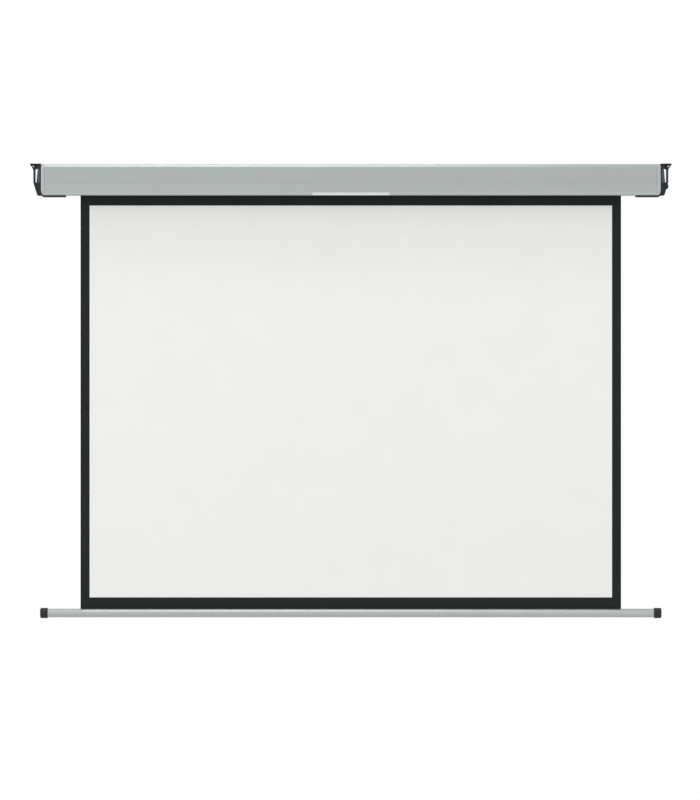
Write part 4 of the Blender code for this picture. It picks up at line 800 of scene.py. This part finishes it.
def make_end_cap(side, name, node):
    """A moulded cap: plate, locating wall, sunk screw holes, and the bores for bracket screws and gland."""
    cap = rounded_plate()
    front = port_centres()[0][0] + SPIGOT_CLEARANCE
    rear = port_centres()[2][0] - SPIGOT_CLEARANCE
    top = CASE_TOP - CASE_WALL - GAP
    bottom = CASE_BOTTOM + SLOT_LIP + GAP
    wall = SPIGOT_WALL
    spigot = prism(oblong(front, rear, bottom, top, SPIGOT_RADIUS), "X", cap_low.x, CAP_INSIDE + SINK)
    inside = oblong(front + wall, rear - wall, bottom + wall, top - wall, SPIGOT_INNER_RADIUS)
    hollow = prism(inside, "X", cap_low.x - PAST, CAP_INSIDE)
    cap = carve(cap, carve(spigot, hollow), "UNION")

    behind = CAP_INSIDE - PAST
    beyond = CAP_OUTSIDE + PAST
    holes = []
    seat = CAP_OUTSIDE - CAP_SCREW_SUNK
    for centre in port_centres():
        bore = stepped_bore(behind, seat, beyond, CAP_SCREW_BORE, CAP_SEAT_RADIUS, SCREW_STEPS)
        holes.append(moved(bore, (0, *centre)))
    seat = CAP_OUTSIDE - BRACKET_SCREW_SUNK
    for offset in (-BRACKET_SCREW_OFFSET, BRACKET_SCREW_OFFSET):
        bore = stepped_bore(behind, seat, beyond, BRACKET_SCREW_BORE, BRACKET_SEAT_RADIUS, SCREW_STEPS)
        holes.append(moved(bore, (0, offset, AXIS_Z + offset)))
    if side > 0:
        holes.append(moved(rod(behind, beyond, GLAND_SHANK + GAP), (0, 0, GLAND_Z)))
    lock = upright(rod(CASE_BOTTOM - PAST, CASE_BOTTOM + LOCK_SCREW_REACH, LOCK_SCREW_BORE))
    holes.append(moved(lock, (LOCK_SCREW_X, 0, 0)))
    cap = carve(cap, together(holes))
    piece(name, on_side(cap, side), "case", [SILVER_CAP], [node])


# Hangers

def make_cradle():
    """Side wall, the corner under the cap's round edge, and the foot under the case."""
    clear = GAP + CAP_MARGIN / 2
    across = CAP_BOTTOM_RADIUS + clear
    down = CAP_BOTTOM_RISE + clear
    corner = []
    for i in range(CURVE_STEPS + 1):
        angle = math.pi / 2 * i / CURVE_STEPS
        x = CAP_OUTSIDE - CAP_BOTTOM_RADIUS + across * math.cos(angle)
        z = CASE_BOTTOM + CAP_BOTTOM_RISE - down * math.sin(angle)
        corner.append((x, z, 0))
    cradle = prism([(HANGER_INSIDE, CRADLE_TOP, 0)] + corner + [
        (FOOT_TIP, FOOT_TOP, 0.0008),
        (FOOT_TIP, FOOT_BOTTOM, 0.0022),
        (RAMP_FOOT, FOOT_BOTTOM, 0.0035),
        (RAMP_HEAD, BLOCK_BOTTOM, 0.0020),
        (HANGER_WALL_OUTSIDE, BLOCK_BOTTOM, 0.0025),
        (HANGER_WALL_OUTSIDE, CRADLE_TOP, 0),
    ], "Y", HANGER_FRONT, HANGER_WALL_FACE - SINK, HANGER_EDGE, "near", 9)
    around_post = oblong(HANGER_INSIDE - PAST, HANGER_WALL_OUTSIDE + PAST, HANGER_FRONT - PAST, POST_Y)
    return carve(cradle, prism(around_post, "Z", BLOCK_TOP, GAP_TOP))


def make_post(side, name):
    """The smooth round post in front of the loop, between the hanger's collar and its block."""
    neck = POST_RADIUS - POST_NECK_DEPTH
    post = upright(turned([
        (BLOCK_TOP - SINK, 0, 0),
        (BLOCK_TOP - SINK, POST_RADIUS, 0),
        (BLOCK_TOP + POST_COLLAR, POST_RADIUS, POST_EDGE),
        (BLOCK_TOP + POST_NECK, neck, POST_EDGE),
        (GAP_TOP - POST_NECK, neck, POST_EDGE),
        (GAP_TOP - POST_COLLAR, POST_RADIUS, POST_EDGE),
        (GAP_TOP + SINK, POST_RADIUS, 0),
        (GAP_TOP + SINK, 0, 0),
    ], 64))
    place = (HANGER_INSIDE + POST_RADIUS, POST_Y, 0)
    piece(name, on_side(moved(post, place), side), "case", [POST])


def make_loop():
    """The loop in front view: flange root, slim outer strap and tapering block, with its gap and window."""
    half = LOOP_HALF_DEPTH
    loop = prism([
        (LOOP_INSIDE, LOOP_TOP, 0),
        (LOOP_INSIDE, BLOCK_BOTTOM, 0.0006),
        (LOOP_FOOT, BLOCK_BOTTOM, 0.003),
        (HANGER_STRAP_OUT, BLOCK_TOP, 0.010),
        (HANGER_STRAP_OUT, GAP_TOP - 0.0015, 0.020),
        (LOOP_TIP, LOOP_SHOULDER, 0.001),
        (LOOP_TIP, LOOP_TOP, 0),
    ], "Y", -half, half, HANGER_EDGE)
    gap = prism([
        (HANGER_GAP_IN, GAP_TOP, 0.001),
        (HANGER_STRAP_IN, GAP_TOP - 0.0025, 0.001),
        (HANGER_STRAP_IN, BLOCK_TOP + 0.004, 0.002),
        (HANGER_STRAP_IN - 0.0008, BLOCK_TOP, 0.0006),
        (HANGER_GAP_IN + HANGER_GAP_SLANT, BLOCK_TOP + 0.001, 0.0006),
    ], "Y", -half - PAST, half + PAST)
    corners = [(HANGER_STRAP_OUT + x, z, WINDOW_RADIUS) for x, z in WINDOW_CORNERS]
    window = prism(corners, "Y", -half - PAST, half + PAST)
    return carve(carve(loop, gap), window)


def make_hanger(side, name, node):
    """A moulded hanger: cradle, loop, ceiling flange and wall plate, with its holes and seats."""
    hanger = carve(make_cradle(), make_loop(), "UNION")
    flange = prism([
        (HANGER_INSIDE, -FLANGE_HALF_DEPTH, FLANGE_INNER_RADIUS),
        (HANGER_TIP, -FLANGE_HALF_DEPTH, FLANGE_TIP_RADIUS),
        (HANGER_TIP, FLANGE_HALF_DEPTH, FLANGE_TIP_RADIUS),
        (HANGER_INSIDE, FLANGE_HALF_DEPTH, FLANGE_INNER_RADIUS),
    ], "Z", -FLANGE_THICKNESS, 0, FLANGE_EDGE, "near", 7)
    hanger = carve(hanger, flange, "UNION")
    back = prism([
        (WALL_PLATE_INSIDE, FOOT_BOTTOM + 0.0010, WALL_PLATE_FOOT_RADIUS),
        (WALL_PLATE_OUTSIDE, FOOT_BOTTOM + 0.006, WALL_PLATE_FOOT_RADIUS),
        (WALL_PLATE_OUTSIDE, WALL_PLATE_TOP, WALL_PLATE_TOP_RADIUS),
        (WALL_PLATE_INSIDE, WALL_PLATE_TOP, WALL_PLATE_TOP_RADIUS),
    ], "Y", CASE_REAR + GAP, HANGER_WALL_FACE, HANGER_EDGE, "far", 7)
    hanger = carve(hanger, back, "UNION")

    holes = []
    for y in (-CEILING_HOLE_Y, CEILING_HOLE_Y):
        hole = upright(rod(-CEILING_HOLE_DEPTH, PAST, CEILING_HOLE_RADIUS, 40))
        holes.append(moved(hole, (CEILING_HOLE_X, y, 0)))
    low = WALL_SLOT_Z - WALL_SLOT_HALF_HEIGHT
    high = WALL_SLOT_Z + WALL_SLOT_HALF_HEIGHT
    for x in WALL_SLOTS_X:
        slot = oblong(x - WALL_SLOT_HALF_WIDTH, x + WALL_SLOT_HALF_WIDTH, low, high, WALL_SLOT_RADIUS)
        holes.append(prism(slot, "Y", CASE_REAR - PAST, HANGER_WALL_FACE + PAST, segments=8))
    lock_top = CASE_BOTTOM + CAP_BOTTOM_RISE / 2
    lock = stepped_bore(FOOT_BOTTOM - PAST, LOCK_SEAT_TOP, lock_top, LOCK_SEAT_RADIUS, LOCK_SCREW_BORE, 32)
    holes.append(moved(upright(lock), (LOCK_SCREW_X, 0, 0)))
    if side > 0:
        shank = GLAND_SHANK + GAP
        socket = stepped_bore(CAP_OUTSIDE - PAST, GLAND_SEAT, HANGER_TIP, shank, GLAND_RADIUS + GAP, 48)
        holes.append(moved(socket, (0, 0, GLAND_Z)))
    hanger = carve(hanger, together(holes))
    piece(name, on_side(hanger, side), "case", [BLACK], [node])


def make_gland():
    """The cable's gland: a ribbed dome over the hanger and its shank, bored through; the shank is drawn plain,
    without thread or nut.
    """
    seat = GLAND_SEAT + GAP
    top = gland_high.x
    radius = GLAND_RADIUS
    body = turned([
        (gland_low.x, GLAND_BORE, 0.0003),
        (gland_low.x, GLAND_SHANK, 0.0005),
        (seat, GLAND_SHANK, 0),
        (seat, radius, 0.0004),
        (top - GLAND_DOME_HEIGHT, radius, 0.0008),
        (top, radius * GLAND_CROWN, 0.0012),
        (top, GLAND_BORE, 0.0004),
    ], 72)
    flutes = []
    reach = radius + FLUTE_OUT
    for i in range(FLUTES):
        angle = 2 * math.pi * i / FLUTES
        place = (0, math.cos(angle) * reach, math.sin(angle) * reach)
        flutes.append(moved(rod(seat + FLUTE_START, top + PAST, FLUTE_RADIUS, 12), place))
    body = carve(body, together(flutes))
    piece("cable_gland", moved(body, (0, 0, GLAND_Z)), "case", [BLACK], ["inlet_gland"])


# Screws

def cross_screw(length, shank, head, height):
    """A screw along X: its rounded head, with a cross recess, starts at 0, and its thread ends at -length."""
    core = shank - THREAD_DEPTH
    corners = [(-length, 0, 0), (-length + core, core, 0)]
    for i in range(int((length - core) / THREAD_PITCH) - 1):
        start = -length + core + i * THREAD_PITCH
        corners.append((start + THREAD_CREST * THREAD_PITCH, shank, 0))
        corners.append((start + THREAD_ROOT * THREAD_PITCH, core, 0))
    corners.append((0, core, 0))
    corners.append((0, head, HEAD_UNDER_RADIUS))
    corners.append((height, head, HEAD_TOP_RADIUS))
    corners.append((height, 0, 0))
    screw = turned(corners, SCREW_STEPS)
    reach = RECESS_REACH * head
    half = RECESS_HALF_WIDTH * head
    arms = []
    for angle in (0, math.pi / 2):
        arm = prism(oblong(-reach, reach, -half, half), "X", height - RECESS_DEPTH, height + PAST)
        bmesh.ops.rotate(arm, verts=arm.verts, cent=(0, 0, 0), matrix=Matrix.Rotation(angle, 3, "X"))
        arms.append(arm)
    return carve(screw, carve(arms[0], arms[1], "UNION"))


def make_side_screw(side, node, shank, head, height):
    """A screw driven into an end of the case, in its packed place."""
    low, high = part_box(node)
    middle = (low + high) / 2
    screw = cross_screw(high.x - low.x - height, shank, head, height)
    seat = (max(abs(low.x), abs(high.x)) - height, middle.y, middle.z)
    piece(f"{node}_threaded", on_side(moved(screw, seat), side), "case", [STEEL], [node])


def make_lock_screw(node):
    """The screw driven up through a hanger's foot, in its packed place."""
    low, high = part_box(node)
    shank, head, height = LOCK_SCREW
    screw = cross_screw(high.z - low.z - height, shank, head, height)
    bmesh.ops.rotate(screw, verts=screw.verts, cent=(0, 0, 0), matrix=Matrix.Rotation(math.pi / 2, 3, "Y"))
    seat = ((low.x + high.x) / 2, (low.y + high.y) / 2, low.z + height)
    piece(f"{node}_threaded", moved(screw, seat), "case", [STEEL], [node])


# Fabric

def cloth(name, bm, body, replaces):
    """Finishes a piece of cloth: picture white, borders black, and the dark coated back."""
    uv = bm.loops.layers.uv.verify()
    for face in bm.faces:
        for loop in face.loops:
            loop[uv].uv = (loop.vert.co.x, loop.vert.co.z)
        middle = face.calc_center_median()
        picture = abs(middle.x) < PICTURE_HALF and PICTURE_BOTTOM < middle.z < PICTURE_TOP
        if face.normal.y < -0.5:
            face.material_index = 0 if picture else 1
        else:
            face.material_index = 2 if face.normal.y > 0.5 else 1
    looks = [WHITE_CLOTH, BLACK_CLOTH, BACK_CLOTH]
    return piece(name, bm, body, looks, replaces)


def waves(x, z):
    """How far the hanging cloth stands back from its plane, in long waves that fade out above and below."""
    above = min(1.0, max(0.0, (CASE_BOTTOM - z) / WAVE_FADE_ABOVE))
    below = min(1.0, max(0.0, (z - PICTURE_BOTTOM) / WAVE_FADE_BELOW))
    broad = math.sin(5.2 * x + 0.9)
    narrow = 0.5 * math.sin(9.1 * x + 2.3 + 1.5 * z)
    return WAVE_HEIGHT * (above * below) * (1.5 + broad + narrow)


def sheet_between(top, bottom, columns, rows):
    """A flat grid across the screen's width between two heights, facing the viewer."""
    bm = bmesh.new()
    bmesh.ops.create_grid(bm, x_segments=columns, y_segments=rows, size=0.5)
    for vert in bm.verts:
        x = vert.co.x * 2 * FABRIC_HALF
        z = (top + bottom) / 2 + vert.co.y * (top - bottom)
        vert.co = (x, 0, z)
    for x in (-PICTURE_HALF, PICTURE_HALF):
        everything = bm.verts[:] + bm.edges[:] + bm.faces[:]
        bmesh.ops.bisect_plane(bm, geom=everything, dist=TINY, plane_co=(x, 0, 0), plane_no=(1, 0, 0))
    for z in (PICTURE_TOP, PICTURE_BOTTOM):
        everything = bm.verts[:] + bm.edges[:] + bm.faces[:]
        bmesh.ops.bisect_plane(bm, geom=everything, dist=TINY, plane_co=(0, 0, z), plane_no=(0, 0, 1))
    for vert in bm.verts:
        vert.co.y = FABRIC_Y - FABRIC_THICKNESS / 2 + waves(vert.co.x, vert.co.z)
    bmesh.ops.recalc_face_normals(bm, faces=bm.faces)
    if bm.faces[:][0].normal.y > 0:
        bmesh.ops.reverse_faces(bm, faces=bm.faces)
    return bm


def make_hanging_sheet():
    """The cloth from the roll down to the bottom border, built at its lowered length; the real cloth shortens
    as the bar rises.
    """
    top = fabric_high.z
    bm = sheet_between(top, PICTURE_BOTTOM, SHEET_COLUMNS, SHEET_ROWS)
    bmesh.ops.solidify(bm, geom=bm.faces[:], thickness=FABRIC_THICKNESS)
    sheet = cloth("projection_cloth", bm, "case", ["screen_fabric"])
    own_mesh(sheet)


def make_hem():
    """The black bottom border, down into the bar and round the hem rod."""
    middle = (0, FABRIC_Y, BAR_Z + HEM_CHANNEL_RISE)
    radius = HEM_ROD_RADIUS + GAP
    half = FABRIC_THICKNESS / 2
    bm = sheet_between(PICTURE_BOTTOM, middle[2] + radius, SHEET_COLUMNS, HEM_ROWS)
    start = [edge for edge in bm.edges if edge.is_boundary and all(
        vert.co.z < middle[2] + radius + TINY for vert in edge.verts)]
    ends = list({vert for edge in start for vert in edge.verts})
    bmesh.ops.translate(bm, verts=ends, vec=(0, half, 0))
    bmesh.ops.spin(bm, geom=start + ends, cent=middle, axis=(1, 0, 0), dvec=(0, 0, 0),
                   angle=math.radians(HEM_DEGREES), steps=36)
    bmesh.ops.recalc_face_normals(bm, faces=bm.faces)
    above = [face for face in bm.faces if face.calc_center_median().z > BAR_TOP]
    if above[0].normal.y > 0:
        bmesh.ops.reverse_faces(bm, faces=bm.faces)
    bmesh.ops.solidify(bm, geom=bm.faces[:], thickness=FABRIC_THICKNESS)
    hem = cloth("bottom_border_and_hem", bm, "bar", ["fabric_hem"])


def make_wound_cloth():
    """The turns that stay on the tube, wound as one spiral that ends behind, where the sheet drops off."""
    steps = STEPS_PER_TURN * STAYING_TURNS
    growth = STAYING_TURNS * TURN_PITCH / steps
    axis = Vector((0, 0, AXIS_Z))
    turn = Matrix.Rotation(-2 * math.pi * STAYING_TURNS / steps, 3, "X")
    first = TUBE_RADIUS + GAP
    bm = bmesh.new()
    ends = [bm.verts.new((x, first, AXIS_Z)) for x in (-FABRIC_HALF, FABRIC_HALF)]
    edge = bm.edges.new(ends)
    for _ in range(steps):
        grown = bmesh.ops.extrude_edge_only(bm, edges=[edge])
        edge = [item for item in grown["geom"] if isinstance(item, bmesh.types.BMEdge)][0]
        bmesh.ops.rotate(bm, verts=edge.verts, cent=axis, matrix=turn)
        for vert in edge.verts:
            outward = Vector((0, vert.co.y, vert.co.z - AXIS_Z)).normalized()
            vert.co += outward * growth
    length = 2 * math.pi * STAYING_TURNS * (first + STAYING_TURNS * TURN_PITCH / 2)
    bm.verts.index_update()
    uv = bm.loops.layers.uv.verify()
    for face in bm.faces:
        for loop in face.loops:
            loop[uv].uv = (loop.vert.co.x, loop.vert.index // 2 * length / steps)
    bmesh.ops.recalc_face_normals(bm, faces=bm.faces)
    outward = bm.faces[:][0].calc_center_median() - axis
    outward.x = 0
    if bm.faces[:][0].normal.dot(outward) < 0:
        bmesh.ops.reverse_faces(bm, faces=bm.faces)
    bmesh.ops.solidify(bm, geom=bm.faces[:], thickness=-FABRIC_THICKNESS)
    roll = piece("wound_cloth", bm, "roller", [BLACK_CLOTH], ["fabric_roll"])


# Bottom bar

def make_bar():
    """The round bar: drawn tube with a hem channel above, a ballast bore below and two fine seams."""
    bar = rod(-BAR_HALF, BAR_HALF, BAR_RADIUS, BAR_STEPS, BAR_EDGE)
    past = BAR_HALF + PAST
    ballast = moved(rod(-past, past, BALLAST_BORE_RADIUS, 48), (0, 0, -BALLAST_BORE_DROP))
    channel = moved(rod(-past, past, HEM_CHANNEL_RADIUS, 40), (0, 0, HEM_CHANNEL_RISE))
    half = HEM_SLOT_WIDTH / 2
    slot = prism(oblong(-half, half, HEM_CHANNEL_RISE, BAR_RADIUS + PAST), "X", -past, past)
    bar = carve(bar, ballast)
    bar = carve(bar, carve(channel, slot, "UNION"))
    seams = []
    for start in (-SEAM_AT - SEAM_WIDTH, SEAM_AT):
        end = start + SEAM_WIDTH
        seams.append(ring(start, end, BAR_RADIUS - SEAM_DEPTH, BAR_RADIUS + PAST, BAR_STEPS))
    bar = carve(bar, together(seams))
    piece("bar_profile", moved(bar, (0, BAR_Y, BAR_Z)), "bar", [ALUMINIUM], ["bar_tube"])


def make_bar_cap(side, name, node):
    """A turned cup over the bar's end, with a soft edge and a fine step round its mouth."""
    mouth = bar_cap_low.x
    bottom = BAR_HALF + GAP
    end = bar_cap_high.x
    bore = BAR_RADIUS + GAP
    radius = BAR_CAP_RADIUS
    cup = turned([
        (bottom, 0, 0),
        (bottom, bore, 0),
        (mouth, bore, 0),
        (mouth, radius, BAR_CAP_MOUTH_RADIUS),
        (end, radius, BAR_CAP_END_RADIUS),
        (end, 0, 0),
    ], BAR_STEPS, 9)
    piece(name, on_side(moved(cup, (0, BAR_Y, BAR_Z)), side), "bar", [BLACK], [node])


# What stays as packed gets its finish

def finish_packed_nodes():
    """Gives every node that still shows its finish, by the material slot it was packed with."""
    by_slot = {
        "silver_paint": SILVER, "silver_cap": SILVER_CAP, "black_plastic": BLACK, "bar_aluminium": ALUMINIUM,
        "steel": STEEL, "galvanised": GALVANISED, "brass": BRASS, "screen_white": BLACK_CLOTH,
        "pale_strip": PALE, "grey_nylon": NYLON, "yellow_plastic": YELLOW, "white_plastic": WHITE,
    }
    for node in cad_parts.values():
        for slot in node.material_slots:
            words = slot.material.name.split(".")[0] if slot.material else ""
            if words in by_slot:
                slot.material = by_slot[words]
            else:
                print("no finish for", node.name, words)


# Studio

def area_light(name, place, aim, width, height, power):
    light = bpy.data.lights.new(name, "AREA")
    light.shape = "RECTANGLE"
    light.size = width
    light.size_y = height
    light.energy = power
    lamp = bpy.data.objects.new(name, light)
    lamp.location = place
    lamp.rotation_euler = (Vector(aim) - Vector(place)).to_track_quat("-Z", "Y").to_euler()
    bpy.context.scene.collection.objects.link(lamp)


def make_floor():
    """A plain pale floor below the screen, open to a view from underneath."""
    bm = bmesh.new()
    bmesh.ops.create_grid(bm, x_segments=2, y_segments=2, size=FLOOR_SIZE)
    mesh = bpy.data.meshes.new("floor")
    moved(bm, (0, 0, FLOOR_Z)).to_mesh(mesh)
    bm.free()
    finish = Finish("floor", 0.8)
    clouds = finish.noise(1.5, 2.0)
    finish.colour(finish.mix(clouds, (0.86, 0.86, 0.85, 1.0), (0.90, 0.90, 0.89, 1.0)))
    back = finish.node("NewGeometry", output="Backfacing")
    clear = finish.node("BsdfTransparent")
    seen = finish.node("MixShader", None, {0: back, 1: Wire(finish, finish.shader.outputs[0]), 2: clear})
    finish.put(finish.tree.nodes["Material Output"].inputs["Surface"], seen)
    mesh.materials.append(finish.material)
    floor = bpy.data.objects.new("floor", mesh)
    bpy.context.scene.collection.objects.link(floor)


def make_studio():
    """White surroundings, a broad light above and in front, and softer ones from the left and right."""
    scene = bpy.context.scene
    scene.view_settings.view_transform = "Standard"
    world = bpy.data.worlds.new("studio")
    scene.world = world
    world.use_nodes = True
    nodes = world.node_tree.nodes
    links = world.node_tree.links
    background = nodes["Background"]
    background.inputs["Color"].default_value = (1, 1, 1, 1)
    seen = nodes.new("ShaderNodeLightPath")
    strength = nodes.new("ShaderNodeMapRange")
    strength.inputs["To Min"].default_value = WORLD_FILL
    strength.inputs["To Max"].default_value = 1.0
    links.new(seen.outputs["Is Camera Ray"], strength.inputs["Value"])
    links.new(strength.outputs["Result"], background.inputs["Strength"])
    area_light("overhead", (-0.38, -0.8, 2.4), (-0.38, 0, 0), width=1.6, height=0.5, power=13.5)
    area_light("front_high", (-0.5, -4.6, 2.0), (0, 0, -0.4), width=5.0, height=2.0, power=27)
    area_light("left_softbox", (-4.0, -3.6, -0.3), (0, 0, -0.6), width=1.6, height=2.4, power=30)
    area_light("right_fill", (4.2, -3.4, -0.5), (0, 0, -0.6), width=2.0, height=2.0, power=22)
    make_floor()


def make_camera():
    camera = bpy.data.cameras.new("camera")
    camera.sensor_width = SENSOR
    camera.lens = SENSOR * VIEW_DISTANCE / VIEW_HEIGHT
    camera.clip_start = 0.1
    camera.clip_end = 200
    viewer = bpy.data.objects.new("camera", camera)
    viewer.location = VIEW_MIDDLE - Vector((0, VIEW_DISTANCE, 0))
    viewer.rotation_euler = (math.pi / 2, 0, 0)
    bpy.context.scene.collection.objects.link(viewer)
    bpy.context.scene.camera = viewer


make_camera()
make_studio()
finish_packed_nodes()
make_case()
make_strip()
for side, word in ((-1, "left"), (1, "right")):
    make_end_cap(side, f"{word}_cap_moulding", f"{word}_end_cap")
    make_hanger(side, f"{word}_hanger_moulding", f"{word}_hanger")
    make_post(side, f"{word}_hanger_post")
    make_bar_cap(side, f"{word}_bar_cap_cup", f"{word}_bar_cap")
    for i in range(4):
        make_side_screw(side, f"cap_screw_{word}_{i + 1}", *CAP_SCREW)
    for i in range(2):
        make_side_screw(side, f"bracket_screw_{word}_{i + 1}", *BRACKET_SCREW)
    make_lock_screw(f"{word}_lock_screw")
make_gland()
make_wound_cloth()
make_hanging_sheet()
make_hem()
make_bar()
